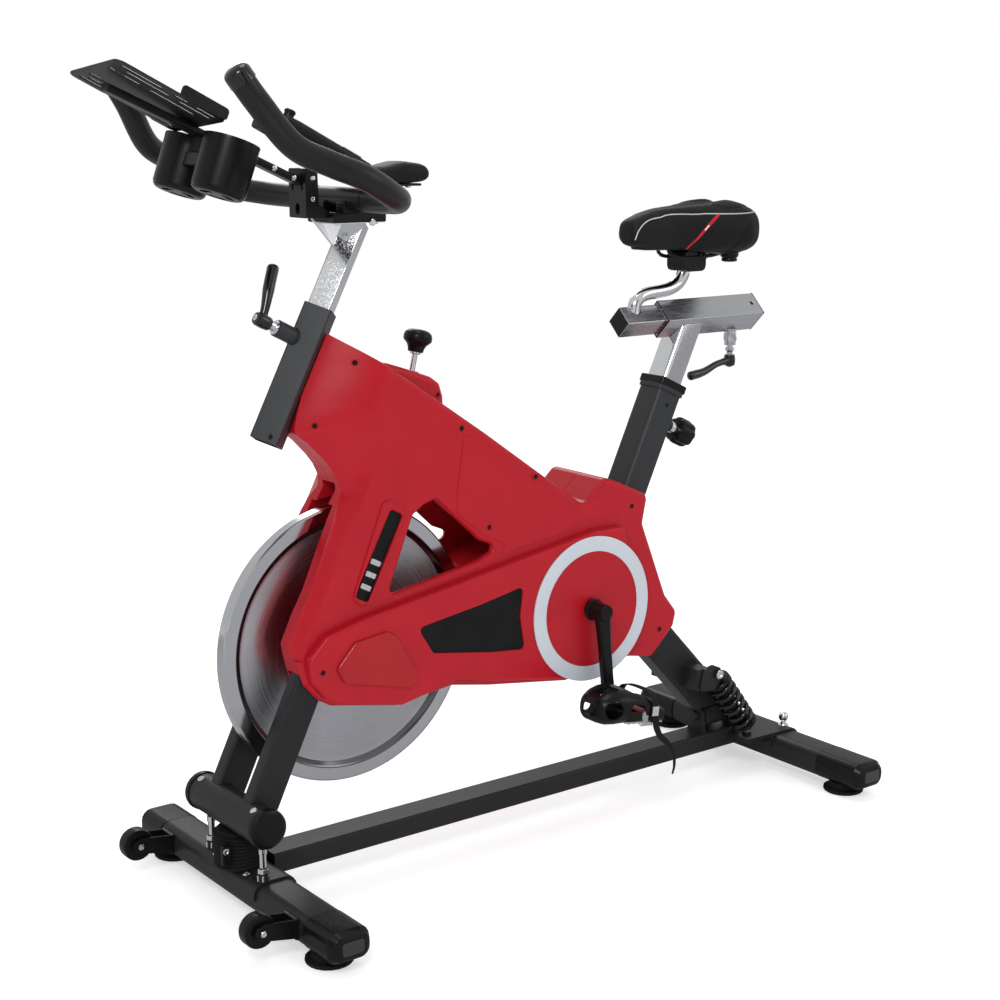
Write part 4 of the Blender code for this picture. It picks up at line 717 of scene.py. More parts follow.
# By height: where the cover's front edge is and how wide it is there, and where its side grows flat.
NECK = [(0.425, -0.44, 0.06, -0.431), (0.455, -0.444, 0.056, -0.4215),
        (0.496, -0.4239, 0.056, -0.4035), (0.54, -0.3993, 0.056, -0.3825),
        (0.604, -0.3714, 0.054, -0.3485), (0.65, -0.35, 0.05, -0.3265),
        (0.674, -0.337, 0.042, -0.3135), (0.691, -0.326, 0.034, -0.305),
        (0.71, -0.33, 0.03, -0.296), (0.7295, -0.3404, 0.027, -0.289),
        (0.747, -0.3545, 0.026, -0.282), (0.773, -0.386, 0.023, -0.276),
        (0.793, -0.416, 0.019, -0.275), (0.82, -0.4017, 0.018, -0.268),
        (0.86, -0.3811, 0.018, -0.253), (0.896, -0.3625, 0.018, -0.2345),
        (0.97, -0.3244, 0.018, -0.205)]


def cover_half(x, z):
    """The cover's half width at a drawing point: narrow at the head sleeve and at the neck's front."""
    front, narrow, flat = between(NECK, z)
    t = (x - front) / (flat - front)
    if t >= 1:
        return SHROUD_SIDE + 0.0015
    t = max(0.0, t)
    crisp = 0.8 * (1 - min(1, max(0, (z - 0.76) / 0.06)))
    share = (1 - crisp) * math.sin(t * math.pi / 2) ** 1.25 + crisp * t ** 1.1
    return narrow + (SHROUD_SIDE + 0.001 - narrow) * share


def taper_cutter(side):
    """What narrows the cover towards the head sleeve and the neck's front edge."""
    mesh = bmesh.new()
    levels, steps = 76, 22
    near, far = [], []
    for k in range(levels):
        z = 0.432 + 0.548 * k / (levels - 1)
        front, _, flat = between(NECK, z)
        line = [front + (flat - front) * (-0.5 + 1.62 * i / (steps - 1)) for i in range(steps)]
        near.append([mesh.verts.new(at(x, side * cover_half(x, z), z)) for x in line])
        far.append([mesh.verts.new(at(x, side * 0.2, z)) for x in line])
    for k in range(levels - 1):
        for i in range(steps - 1):
            for sheet in (near, far):
                mesh.faces.new((sheet[k][i], sheet[k][i + 1], sheet[k + 1][i + 1], sheet[k + 1][i]))
        for i in (0, steps - 1):
            mesh.faces.new((near[k][i], near[k + 1][i], far[k + 1][i], far[k][i]))
    for k in (0, levels - 1):
        for i in range(steps - 1):
            mesh.faces.new((near[k][i], near[k][i + 1], far[k][i + 1], far[k][i]))
    return piece("cutter", mesh, RED, None)


def build_shroud(side_name, side):
    name = f"cover_{side_name}"
    body = side_slab(name, side, filleted(SHROUD, 0.014), 0.0004, SHROUD_SIDE, RED, UPPER, rim=0.01,
                     holes=[filleted(WINDOW, 0.01)], steps=6, stands_for=[f"shroud_{side_name}"])
    bare(body)
    post = [(a * 0.9, b * 0.9) for a, b in rounded(0.07, 0.07, 0.012)]
    tools = [
        drum(AXLE, Y, 0.032, 0.247, 96),
        cutter(row([(-0.4, 0.55), (-0.28, 0.55), (-0.28, 0.702), (-0.4, 0.702)]), -0.019, 0.019),
        taper_cutter(side),
        beam(head(-0.1), head(0.4), square(0.05), Y),
        beam(SEAT_REF - SEAT_UP * 0.45, SEAT_REF + SEAT_UP * 0.1, post, Y),
        drum(CRANK, Y, 0.2, 0.024),
        cutter(filleted(offset(WINDOW, -0.03), 0.01), -0.066, 0.066),
        bare(lathe("cutter", KNOB_TOP - ROD_UP * 0.25, ROD_UP,
                   mm([(0, 0), (0, 10), (250, 10), (250, 0)]), RED, None, 32)),
    ]
    leg = Vector((math.sin(math.radians(25.7)), 0, math.cos(math.radians(25.7))))
    start = at(-0.476, side * 0.0535, 0.25)
    tools.append(beam(start - leg * 0.1, start + leg * 0.62,
                      [(a, b) for a, b in rounded(0.061, 0.036, 0.004)], Y))
    foot, top = at(0.56, 0, 0.128), at(0.2555, 0, 0.4485)
    tools.append(beam(foot, top + (top - foot).normalized() * 0.03, rounded(0.056, 0.081, 0.006), Y))
    if side < 0:
        tools.append(cutter(filleted(SLOT, 0.006), -0.2, -SHROUD_SIDE + 0.01))
    carve(body, *tools)
    shade(body, 34)


BAND = row([(-0.11, 0.771), (-0.125, 0.669), (-0.125, 0.634), (-0.07, 0.588), (-0.022, 0.568),
            (-0.036, 0.548), (0.11, 0.569), (0.146, 0.586), (0.146, 0.596), (-0.062, 0.742)])


def build_knob_boss():
    """A rounded block on the cover's back, round the resistance rod."""
    boss = slab("knob_boss", filleted(KNOB_BOSS, 0.01), -0.04, 0.04, RED, UPPER, round_low=0.01,
                round_high=0.01)
    bare(boss)
    carve(boss, bare(lathe("cutter", KNOB_TOP - ROD_UP * 0.12, ROD_UP,
                           mm([(0, 0), (0, 8.5), (120, 8.5), (120, 0)]), RED, None, 32)))
    shade(boss, 34)
    lathe("knob_gland", KNOB_TOP - ROD_UP * 0.0745, ROD_UP,
          mm([(0, 6), (0, 12.5), (3, 12), (4.5, 9.5), (4.5, 6)]), RED, UPPER, 48)


def build_cover_details():
    for side_name, side in SIDES:
        side_slab(f"cover_band_{side_name}", side, filleted(BAND, 0.008), SHROUD_SIDE - 0.002,
                  SHROUD_SIDE + 0.0014, RED, UPPER, rim=0.0014)
    for side_name, side in SIDES:
        side_slab(f"slot_frame_{side_name}", side, filleted(SLOT_FRAME, 0.014), SHROUD_SIDE - 0.004,
                  SHROUD_SIDE + 0.0035, RED, UPPER, rim=0.003, holes=[filleted(SLOT, 0.006)])
        side_slab(f"slot_back_{side_name}", side, filleted(offset(SLOT, -0.002), 0.006),
                  SHROUD_SIDE - 0.008, SHROUD_SIDE - 0.002, MATT, UPPER)
        top = Vector(SLOT[0]).lerp(Vector(SLOT[1]), 0.5)
        foot = Vector(SLOT[2]).lerp(Vector(SLOT[3]), 0.5)
        way = (foot - top).normalized()
        for i, share in enumerate((0.58, 0.72, 0.86)):
            middle = top.lerp(foot, share)
            half = Vector((-way.y, way.x)) * 0.0105
            thick = way * 0.0045
            corners = [middle + half + thick, middle - half + thick, middle - half - thick,
                       middle + half - thick]
            side_slab(f"slot_bar_{side_name}_{i}", side, filleted([tuple(c) for c in corners], 0.002),
                      SHROUD_SIDE - 0.004, SHROUD_SIDE, SILVER, UPPER, rim=0.001 if side < 0 else 0)
    holes = [(-0.3055, 0.9), (-0.3735, 0.803), (-0.115, 0.778), (0.041, 0.678), (-0.059, 0.602),
             (0.264, 0.597), (0.337, 0.353), (-0.403, 0.413)]
    for side_name, side in SIDES:
        for i, (x, z) in enumerate(holes):
            here, ahead, above = (min(SHROUD_SIDE, cover_half(a, b))
                                  for a, b in ((x, z), (x + 0.004, z), (x, z + 0.004)))
            way = Vector((-(ahead - here) / 0.004, side, -(above - here) / 0.004)).normalized()
            lift = 0.0165 if side < 0 and i == 7 else 0.0013 if i in (3, 4) else 0.0
            recess(f"cover_screw_{side_name}_{i}", at(x, side * (here + lift), z) - way * 0.0003,
                   way, UPPER)
    build_knob_boss()
    recess("knob_boss_screw", at(-0.136, -0.0397, 0.832), -Y, UPPER, 0.0038)


def build_guard():
    disc_edge = [(CRANK.x + 0.132 * math.cos(math.radians(a)),
                  CRANK.z + 0.132 * math.sin(math.radians(a))) for a in range(-102, 51, 4)]
    outline = disc_edge + row([(0.235, 0.566), (0.168, 0.566), (-0.318, 0.488), (-0.392, 0.47),
                               (-0.4255, 0.437), (-0.421, 0.396), (-0.398, 0.368), (-0.37, 0.352),
                               (-0.248, 0.327), (-0.134, 0.349), (-0.055, 0.331), (0.11, 0.303)])
    guard = slab("belt_cover", filleted(outline, 0.01), -0.0945, -SHROUD_SIDE + 0.0005, RED, UPPER,
                 round_low=0.006, steps=5, stands_for=["belt_guard"])
    bare(guard)
    carve(guard, cutter(filleted(PANEL, 0.008), -0.2, -0.0915), drum(CRANK, Y, 0.2, 0.017))
    shade(guard, 34)
    slab("belt_cover_panel", filleted(offset(PANEL, 0.0006), 0.008), -0.0925, -0.0905, PANEL_MESH,
         UPPER)
    slab("badge_plate", filleted(BADGE, 0.01), -0.1005, -0.0942, DEEP_RED, UPPER, round_low=0.0045)
    section = mm([(105, 0), (105, 2.2), (107.5, 3.4), (129.5, 3.4), (132, 2.2), (132, 0)])
    lathe("crank_ring", CRANK + Y * -0.0943, -Y, [(h, r) for r, h in section], RING, UPPER, 128)
    dish = mm([(0, 17.2), (0.6, 18), (0.6, 26), (1.2, 27), (1.2, 100), (2.2, 102), (2.2, 104.8),
               (0, 104.8)])
    lathe("crank_disc", CRANK + Y * -0.0943, -Y, dish, RED, UPPER, 128)


def build_flywheel():
    """A heavy disc: polished tread and rim band, dark rolled shoulder, dished and brushed face."""
    r = 0.238
    half = 0.012
    face = [(0.016, 0.0105), (0.0165, 0.012), (0.0165, 0.028), (0.015, 0.03),
            (0.0052, 0.0335), (0.0046, 0.036), (0.004, r - 0.04), (0.0052, r - 0.033),
            (0.01, r - 0.0265), (0.0114, r - 0.0245), (half, r - 0.0225), (half, r - 0.003),
            (half - 0.001, r - 0.0008), (half - 0.0024, r)]
    profile = [(-h, rad) for h, rad in reversed(face)] + face
    wheel = lathe("flywheel_disc", (0, 0, 0), Y, profile, WHEEL_RIM, "flywheel_unit", 160, limit=24,
                  stands_for=["flywheel"])
    wheel.location = AXLE
    wheel.data.materials.append(WHEEL_FACE)
    wheel.data.materials.append(WHEEL_SHOULDER)
    for poly in wheel.data.polygons:
        out = math.hypot(poly.center.x, poly.center.z)
        if out < r - 0.034:
            poly.material_index = 1
        elif out < r - 0.0235:
            poly.material_index = 2


# ---- base ---------------------------------------------------------------------------------
def ribs(low, high, radius, depth, count, top_radius):
    """The side of a ribbed block, as lathe points."""
    profile = [(0, 0), (0, radius - 0.001), (0.001, radius)]
    pitch = (high - low - 0.008) / count
    for i in range(count):
        foot = 0.003 + pitch * i
        for share, out in ((0.12, 0), (0.32, -0.1), (0.46, -0.9), (0.6, -1.0), (0.74, -0.9),
                           (0.88, -0.1)):
            profile.append((foot + pitch * share, radius + out * depth))
    end = high - low
    profile += [(end - 0.004, top_radius), (end - 0.001, top_radius), (end, top_radius - 0.001),
                (end, 0)]
    return profile


def build_base_details():
    low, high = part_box("rubber_mount")
    middle = (low + high) / 2
    mount = lathe("rubber_mount_ribs", (middle.x, 0, low.z), Z,
                  ribs(low.z, high.z, 0.0415, 0.003, 9, 0.036), RUBBER, None, 72, limit=60,
                  weighted=False, slot="black_rubber", stands_for=["rubber_mount"])
    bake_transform(mount)
    block("mount_fitting", (middle.x - 0.04, -0.03, low.z + 0.032), (0.016, 0.01, 0.034), BLACK,
          "base", 0.003)
    screw("mount_fitting_screw", (middle.x - 0.042, -0.035, low.z + 0.04), -Y, "base", 0.0055,
          height=0.002)
    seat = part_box("front_stabiliser")[1].z + 0.0035
    for side_name, side in SIDES:
        x, y = -0.517, side * 0.086
        lathe(f"limit_stud_{side_name}", (x, y, seat), Z,
              mm([(0, 0), (0, 5.8), (52, 5.8), (52, 0)]), CHROME, "base", 24)
        for i, (foot, tall, wide) in enumerate(((0.0, 0.011, 0.0112), (0.0125, 0.009, 0.0098))):
            lathe(f"limit_nut_{side_name}_{i}", (x, y, seat + foot), Z,
                  [(0, 0), (0, wide * 0.9), (0.001, wide), (tall - 0.001, wide), (tall, wide * 0.9),
                   (tall, 0)], CHROME, "base", 6, limit=20)
        lathe(f"limit_tip_{side_name}", (x, y, seat + 0.046), Z,
              mm([(0, 0), (0, 7.2), (8.5, 7.2), (10, 5.5), (10, 0)]), CHROME, "base", 24)
        lo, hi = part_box("pivot_tube")
        centre = (lo + hi) / 2
        r = 0.0315
        lathe(f"pivot_plug_{side_name}", (centre.x, side * 0.1005, centre.z), Y * side,
              [(0, 0), (0, r + 0.0012), (0.006, r + 0.0016), (0.011, r + 0.0004), (0.0138, r - 0.003),
               (0.0148, r - 0.008), (0.015, 0)], BLACK, UPPER, 72)
        tilt = Vector((-0.42, 0, 0.91)).normalized()
        screw(f"pivot_lock_{side_name}", Vector((centre.x, side * 0.088, centre.z)) + tilt * 0.0306,
              tilt, UPPER, 0.0062, height=0.0025)
        lo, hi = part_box(f"wheel_fork_{side_name}")
        wheel = Vector(JOINTS[f"{side_name}_wheel_spin"]["pos_m"])
        for name, y, way in (("inner", lo.y, -Y), ("outer", hi.y, Y)):
            screw(f"wheel_screw_{side_name}_{name}", (wheel.x, y, wheel.z), way, "base", 0.0052,
                  height=0.0026)
        tread = mm([(-11.5, 5.3), (-11.5, 20), (-12.2, 22.5), (-11.2, 26.2), (-8.5, 27.5),
                    (8.5, 27.5), (11.2, 26.2), (12.2, 22.5), (11.5, 20), (11.5, 5.3)])
        lathe(f"wheel_{side_name}", wheel, Y, tread, BLACK, f"{side_name}_wheel", 64,
              stands_for=[f"transport_wheel_{side_name}"])
        for prefix in ("front", "rear"):
            lo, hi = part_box(f"{prefix}_cap_{side_name}")
            tip = hi.y if side > 0 else lo.y
            centre = Vector(((lo.x + hi.x) / 2, tip, (lo.z + hi.z) / 2 + 0.001))
            lens = [(centre.x + a, centre.z + b) for a, b in rounded(0.04, 0.022, 0.006)]
            side_slab(f"{prefix}_cap_facet_{side_name}", side, lens, abs(tip) - 0.004,
                      abs(tip) + 0.0004, GLOSS, "base", rim=0.0015)
    low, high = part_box("rear_saddle")
    for side_name, side in SIDES:
        foot = Vector((0.684, side * 0.072, high.z - 0.0005))
        lathe(f"rear_eye_{side_name}", foot, Z, mm([(0, 0), (0, 10), (1.5, 10.5), (1.5, 6),
                                                    (8, 4.8), (10.5, 7.5), (15, 9.8), (20, 9.8),
                                                    (24.5, 7.2), (26.2, 3.5), (26.5, 0)]), CHROME,
              "base", 40, limit=50)
    low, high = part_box("front_saddle")
    for side_name, side in SIDES:
        screw(f"saddle_bolt_{side_name}", (low.x + 0.012, side * 0.05, seat + 0.0006), Z, "base",
              0.006, height=0.003)


# ---- shocks -------------------------------------------------------------------------------
def build_shocks():
    """Two dampers in open coils, held between the leg's bolt and the rear saddle's tongue."""
    for side_name, side in SIDES:
        top, foot = at(0.506, side * 0.054, 0.223), at(0.5975, side * 0.056, 0.102)
        along = (foot - top).normalized()
        length = (foot - top).length
        a, b = frame_of(along)
        parts = [lathe(f"shock_body_{side_name}", top, along,
                       [(-0.021, 0), (-0.021, 0.01), (-0.018, 0.0125), (0.008, 0.0125),
                        (0.009, 0.024), (0.011, 0.026), (0.016, 0.0265), (0.018, 0.024),
                        (0.02, 0.013), (0.075, 0.013), (0.076, 0.009), (length - 0.024, 0.009),
                        (length - 0.022, 0.022), (length - 0.02, 0.026), (length - 0.014, 0.0268),
                        (length - 0.011, 0.024), (length - 0.008, 0.013), (length, 0.012),
                        (length, 0)], BLACK, None, 48, slot="black_plastic",
                       stands_for=[f"shock_{side_name}"])]
        path = []
        turns, steps, first, last = 5.6, 20, 0.0205, length - 0.0225
        for i in range(int(turns * steps) + 1):
            t = i / (turns * steps)
            spin = 2 * math.pi * turns * t
            path.append(top + along * (first + (last - first) * t)
                        + (a * math.cos(spin) + b * math.sin(spin)) * 0.0228)
        parts.append(sweep(f"shock_coil_{side_name}", path, 0.0046, GLOSS_BLACK, None, sides=14,
                           steps=0, dome=0.002, slot="black_plastic"))
        for part in parts:
            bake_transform(part)
        ear = [(0.452, 0.206), (0.492, 0.2), (0.513, 0.222), (0.507, 0.244), (0.484, 0.254),
               (0.462, 0.246)]
        lo, hi = sorted((side * 0.0665, side * 0.0705))
        slab(f"shock_ear_{side_name}", filleted(row(ear), 0.01), lo, hi, PAINT, UPPER,
             round_low=0.001, round_high=0.001)
        screw(f"shock_bolt_{side_name}", at(0.498, side * 0.076, 0.233), Y * side, UPPER, 0.0088,
              height=0.0035)


# ---- cranks and pedals --------------------------------------------------------------------
def build_cranks():
    for side_name, side in SIDES:
        end = Vector(JOINTS[f"{side_name}_pedal_spin"]["pos_m"])
        way = Vector((end.x - CRANK.x, 0, end.z - CRANK.z))
        reach = way.length
        way.normalize()
        wide = Vector((way.z, 0, -way.x))
        outline = []
        for k in range(17):
            t = math.pi / 2 + math.pi * k / 16
            outline.append((0.015 * math.cos(t), 0.015 * math.sin(t)))
        for x, half in ((0.03, 0.0128), (0.07, 0.0112), (0.125, 0.011)):
            outline.append((x, -half))
        for k in range(17):
            t = -math.pi / 2 + math.pi * k / 16
            outline.append((reach + 0.013 * math.cos(t), 0.013 * math.sin(t)))
        for x, half in ((0.125, 0.011), (0.07, 0.0112), (0.03, 0.0128)):
            outline.append((x, half))

        def place(x, y, z, wide=wide, way=way):
            return Vector((CRANK.x, 0, CRANK.z)) + way * x + wide * z + Y * y

        lo, hi = sorted((side * 0.1155, side * 0.1315))
        slab(f"crank_arm_{side_name}", outline, lo, hi, BLACK, "crankset", round_low=0.0045,
             round_high=0.0045, steps=4, place=place,
             stands_for=[f"crank_{side_name}"])
        base = Vector((CRANK.x, side * 0.0985, CRANK.z))
        lathe(f"crank_boss_{side_name}", base, Y * side, mm([(0, 0), (0, 19.5), (4, 20), (5, 17.2),
                                                             (12, 16.5), (18, 15.5), (36, 15),
                                                             (38.5, 13.5), (38.8, 10), (38, 9.2),
                                                             (38, 0)]), BLACK, "crankset", 56)
        lathe(f"crank_eye_{side_name}", Vector((end.x, side * 0.1125, end.z)), Y * side,
              mm([(0, 0), (0, 11.8), (1.5, 12.5), (20.5, 12.5), (22, 11.5), (22, 0)]), BLACK,
              "crankset", 48)


PEDAL_TILT = Matrix.Rotation(math.radians(8), 4, "Y")


def build_pedals():
    """Spindle, alloy body with a toothed binding on one face, and a toe cage with its strap."""
    for side_name, side in SIDES:
        body = f"{side_name}_pedal"
        centre = Vector(JOINTS[f"{side_name}_pedal_spin"]["pos_m"])
        centre.y = side * 0.185

        def put(x, y, z, centre=centre, side=side):
            return centre + PEDAL_TILT @ Vector((x, y * side, z))

        def flat(name, outline, low, high, paint, soft, holes=()):
            """A plate lying in the pedal's own X and Y."""
            return slab(name, outline, low, high, paint, body, holes=holes, round_low=soft,
                        round_high=soft, steps=3, place=lambda a, t, b: put(a, b, t))

        lathe(f"pedal_spindle_{side_name}", centre - Y * side * 0.061, Y * side,
              mm([(0, 0), (0, 7.2), (8, 7.2), (8, 9.8), (14, 9.8), (16, 12.5), (30, 12), (36, 10.5),
                  (92, 10.5), (97, 12.5), (104, 12), (105.5, 9), (105.5, 0)]), STEEL, body, 40,
              stands_for=[f"pedal_{side_name}"])
        frame_line = filleted(mm([(-47, -40), (47, -40), (47, 40), (-47, 40)]), 0.012)
        gaps = [filleted(mm([(-37, -31), (-14, -31), (-14, 31), (-37, 31)]), 0.006),
                filleted(mm([(14, -31), (37, -31), (37, 31), (14, 31)]), 0.006)]
        flat(f"pedal_frame_{side_name}", frame_line, -0.01, 0.0065, BLACK, 0.0025, gaps)
        teeth = []
        for i in range(8):
            x = -0.04 + i * 0.0107
            teeth += [(x, 0.0345), (x + 0.004, 0.0405), (x + 0.008, 0.0345)]
        for label, sign in (("inner", -1), ("outer", 1)):
            edge = [(x, y * sign) for x, y in teeth] + [(0.04, 0.029 * sign), (-0.041, 0.029 * sign)]
            flat(f"pedal_teeth_{side_name}_{label}", edge, -0.014, -0.0098, SILVER, 0.0004)
        clamp = mm([(-6, -23), (30, -26), (44, -18), (47, 0), (44, 18), (30, 26), (-6, 23), (6, 0)])
        flat(f"pedal_binding_{side_name}", filleted(clamp, 0.005), -0.019, -0.0145, SILVER, 0.0012,
             [filleted(mm([(12, -8), (26, -8), (26, 8), (12, 8)]), 0.004)])
        for i, (x, y) in enumerate(((0.036, -0.016), (0.036, 0.016))):
            lathe(f"pedal_bolt_{side_name}_{i}", put(x, y, -0.0185), PEDAL_TILT @ -Z,
                  mm([(0, 0), (0, 5.2), (3.5, 5.2), (4.5, 4.2), (4.5, 2.8), (2, 2.6), (2, 0)]),
                  CHROME, body, 24)
        for i, y in ((0, -0.013), (2, 0.013)):
            path = []
            for k in range(61):
                spin = 2 * math.pi * 5 * k / 60
                path.append(put(0.012 + 0.028 * k / 60, y + 0.0042 * math.cos(spin),
                                -0.022 + 0.0042 * math.sin(spin)))
            sweep(f"pedal_spring_{side_name}_{i}", path, 0.001, CHROME, body, sides=8, steps=0)
        build_cage(side_name, side, put, body)


def cage_ring(x, half, top, bottom, put):
    outline = rounded(2 * half, top - bottom, min(half, (top - bottom) / 2) * 0.85, 6)
    return [put(x, a, (top + bottom) / 2 + b) for a, b in outline]


def loft(name, rings, paint, body, shut=True, **kw):
    mesh = bmesh.new()
    rows = [[mesh.verts.new(p) for p in ring] for ring in rings]
    for a, b in zip(rows, rows[1:]):
        for i in range(len(a)):
            j = (i + 1) % len(a)
            mesh.faces.new((a[i], a[j], b[j], b[i]))
    if shut:
        mesh.faces.new(rows[0])
        mesh.faces.new(rows[-1])
    return piece(name, mesh, paint, body, **kw)


def build_cage(side_name, side, put, body):
    """A hooped plastic shell over the toes; its walls run back past the strap and fall away."""
    outer, inner = [], []
    for x, half, top, bottom in ((0.04, 0.044, 0.012, -0.0115), (0.026, 0.045, 0.021, -0.012),
                                 (0.006, 0.0455, 0.033, -0.0125), (-0.018, 0.045, 0.041, -0.0125),
                                 (-0.04, 0.0445, 0.045, -0.0145), (-0.062, 0.043, 0.045, -0.0165),
                                 (-0.08, 0.039, 0.04, -0.0165), (-0.093, 0.0325, 0.032, -0.013),
                                 (-0.1, 0.024, 0.024, -0.008)):
        outer.append(cage_ring(x, half, top, bottom, put))
        inner.append(cage_ring(x, half - 0.0028, top - 0.0028, bottom + 0.0028, put))
    inner[0] = cage_ring(0.05, 0.0412, 0.011, -0.0087, put)
    inner[-1] = cage_ring(-0.0965, 0.0214, 0.0214, -0.0054, put)
    shell = loft(f"toe_cage_{side_name}", outer, BLACK, body)
    disc = [(0.0165 * math.cos(2 * math.pi * k / 28) - 0.0745,
             0.0165 * math.sin(2 * math.pi * k / 28) + 0.0125) for k in range(28)]
    tools = [loft("cutter", inner, BLACK, None),
             bare(slab("cutter", disc, -0.08, 0.08, RED, None, place=put))]

    def upright(a, t, b):
        return put(a, b, t)

    for points, radius, low, high, place in (
        ([(-0.046, -0.006), (-0.002, -0.006), (-0.01, 0.02), (-0.038, 0.024)], 0.008, -0.08, 0.08, put),
        ([(-0.088, -0.016), (-0.052, -0.027), (-0.052, 0.027), (-0.088, 0.016)], 0.009, 0.02, 0.08,
         upright),
        ([(-0.036, -0.03), (0.08, -0.038), (0.08, 0.038), (-0.036, 0.03)], 0.01, 0.0, 0.08, upright),
        ([(-0.03, -0.03), (0.08, -0.036), (0.08, 0.036), (-0.03, 0.03)], 0.006, -0.08, -0.006,
         upright),
        ([(-0.018, -0.002), (0.018, -0.002), (0.018, 0.018), (-0.018, 0.018)], 0.007, -0.12, -0.09,
         lambda a, t, b: put(t, a, b)),
    ):
        tools.append(bare(slab("cutter", filleted(points, radius), low, high, RED, None,
                               place=place)))
    carve(shell, *tools)
    shade(shell, 40)
    strap = [put(0.012, y, z) for y, z in ((0.0468, -0.01), (0.0478, 0.006), (0.0462, 0.022),
                                           (0.04, 0.035), (0.02, 0.041), (-0.02, 0.041),
                                           (-0.04, 0.035), (-0.0462, 0.022), (-0.0478, 0.006),
                                           (-0.0468, -0.01))]
    band = rounded(2.0, 0.22, 0.09, 3)
    sweep(f"toe_strap_{side_name}", strap, 0.008, MATT, body,
          outline=[(v, u) for u, v in band], steps=5, up=X, slot="black_rubber")
    tail = [put(0.014, 0.049, 0.0), put(0.018, 0.05, -0.018), put(0.03, 0.0505, -0.036),
            put(0.05, 0.051, -0.05), put(0.066, 0.0515, -0.068), put(0.072, 0.0515, -0.092),
            put(0.07, 0.0515, -0.108)]
    sweep(f"toe_strap_tail_{side_name}", tail, lambda t: 0.0078 * (1 - 0.72 * t), MATT, body,
          outline=band, steps=5, up=Y, slot="black_rubber")
    block(f"toe_buckle_{side_name}", put(0.012, 0.049, 0.01), (0.014, 0.004, 0.017), SILVER, body,
          0.0012, PEDAL_TILT)


# ---- handlebar ----------------------------------------------------------------------------
def build_handlebar():
    half = [at(-0.29, 0.0, 1.156), at(-0.291, 0.07, 1.156), at(-0.298, 0.14, 1.1565),
            at(-0.318, 0.2, 1.16), at(-0.356, 0.242, 1.17), at(-0.412, 0.26, 1.196),
            at(-0.466, 0.25, 1.217), at(-0.515, 0.23, 1.243), at(-0.558, 0.206, 1.304),
            at(-0.587, 0.2, 1.345)]
    near = [Vector((p.x, -p.y, p.z)) for p in reversed(half)]
    sweep("handlebar_tube", near + half[1:], 0.019, GRIP, MAST, sides=36, steps=8,
          stands_for=["handlebar"])
    for side_name, side in SIDES:
        tip, before = (Vector((p.x, p.y * side, p.z)) for p in (half[-1], half[-2]))
        way = (tip - before).normalized()
        lathe(f"handlebar_cap_{side_name}", tip - way * 0.021, way,
              mm([(0, 0), (0, 19.6), (0.8, 20.3), (16, 20.3), (20, 19.2), (23.5, 16.5), (25.8, 12),
                  (27, 6), (27.2, 0)]), GLOSS_BLACK, MAST, 56, limit=50)
        seam = at(-0.291, side * 0.078, 1.156)
        lathe(f"handlebar_collar_{side_name}", seam - Y * 0.002, Y,
              mm([(0, 18.6), (0, 19.7), (4, 19.7), (4, 18.6)]), BLACK, MAST, 56)


def build_front_carrier():
    """The riser plate on the bar, the arm under the tray, and its bolts."""
    start, end = at(-0.345, 0, 1.1725), at(-0.69, 0, 1.3245)
    sweep("carrier_arm", [start, end], 1.0, BLACK, MAST, outline=rounded(0.024, 0.012, 0.003),
          steps=0, up=Z, stands_for=["front_bracket"])
    face = filleted(mm([(-26, 1128.5), (26, 1128.5), (26, 1205), (-26, 1205)]), 0.003)
    ovals = [filleted([(y - 0.0022, 1.172), (y + 0.0022, 1.172), (y + 0.0022, 1.196),
                       (y - 0.0022, 1.196)], 0.002) for y in (-0.014, 0.014)]
    ovals.append([(0.0065 * math.cos(2 * math.pi * k / 20),
                   1.143 + 0.0085 * math.sin(2 * math.pi * k / 20)) for k in range(20)])
    drop = [[(a, b - DROP) for a, b in loop] for loop in [face, *ovals]]
    slab("carrier_plate", drop[0], -0.3735, -0.3705, BLACK, MAST, holes=drop[1:], round_low=0.0008,
         round_high=0.0008, place=lambda a, t, b: Vector((t, a, b)))
    side_line = filleted(row([(-0.372, 1.1285), (-0.33, 1.1285), (-0.33, 1.136), (-0.35, 1.15),
                              (-0.352, 1.205), (-0.372, 1.205)]), 0.003)
    for side_name, side in SIDES:
        lo, hi = sorted((side * 0.0232, side * 0.0262))
        slab(f"carrier_cheek_{side_name}", side_line, lo, hi, BLACK, MAST, round_low=0.0006,
             round_high=0.0006)
        for i, (x, z) in enumerate(((-0.361, 1.19), (-0.361, 1.158))):
            screw(f"carrier_screw_{side_name}_{i}", at(x, side * 0.0262, z), Y * side, MAST, 0.0042)
    block("carrier_core", at(-0.361, 0, 1.17), (0.014, 0.044, 0.066), MATT, MAST, 0.002)
    for i, share in enumerate((0.12, 0.22)):
        p = start.lerp(end, share)
        screw(f"carrier_bolt_{i}", p + Vector((0, -0.0122, 0)), -Y, MAST, 0.0045, height=0.003)
    block("post_plate", (-0.283, 0, 1.1185), (0.098, 0.083, 0.0175), BLACK, MAST, 0.003)
    for i, (x, y) in enumerate(((-0.318, -0.03), (-0.25, -0.03), (-0.318, 0.03), (-0.25, 0.03))):
        screw(f"post_plate_bolt_{i}", (x, y, 1.1098), -Z, MAST, 0.0062, height=0.0035, hexed=True)
    for side_name, side in SIDES:
        block(f"bar_clamp_{side_name}", at(-0.29, side * 0.03, 1.144), (0.05, 0.024, 0.018), BLACK,
              MAST, 0.003)
        lathe(f"post_gusset_weld_{side_name}", at(-0.262, side * 0.041, 1.12), Y * side,
              mm([(0, 0), (0, 5.5), (3, 5.5), (4, 4.5), (4, 0)]), CHROME, MAST, 24)


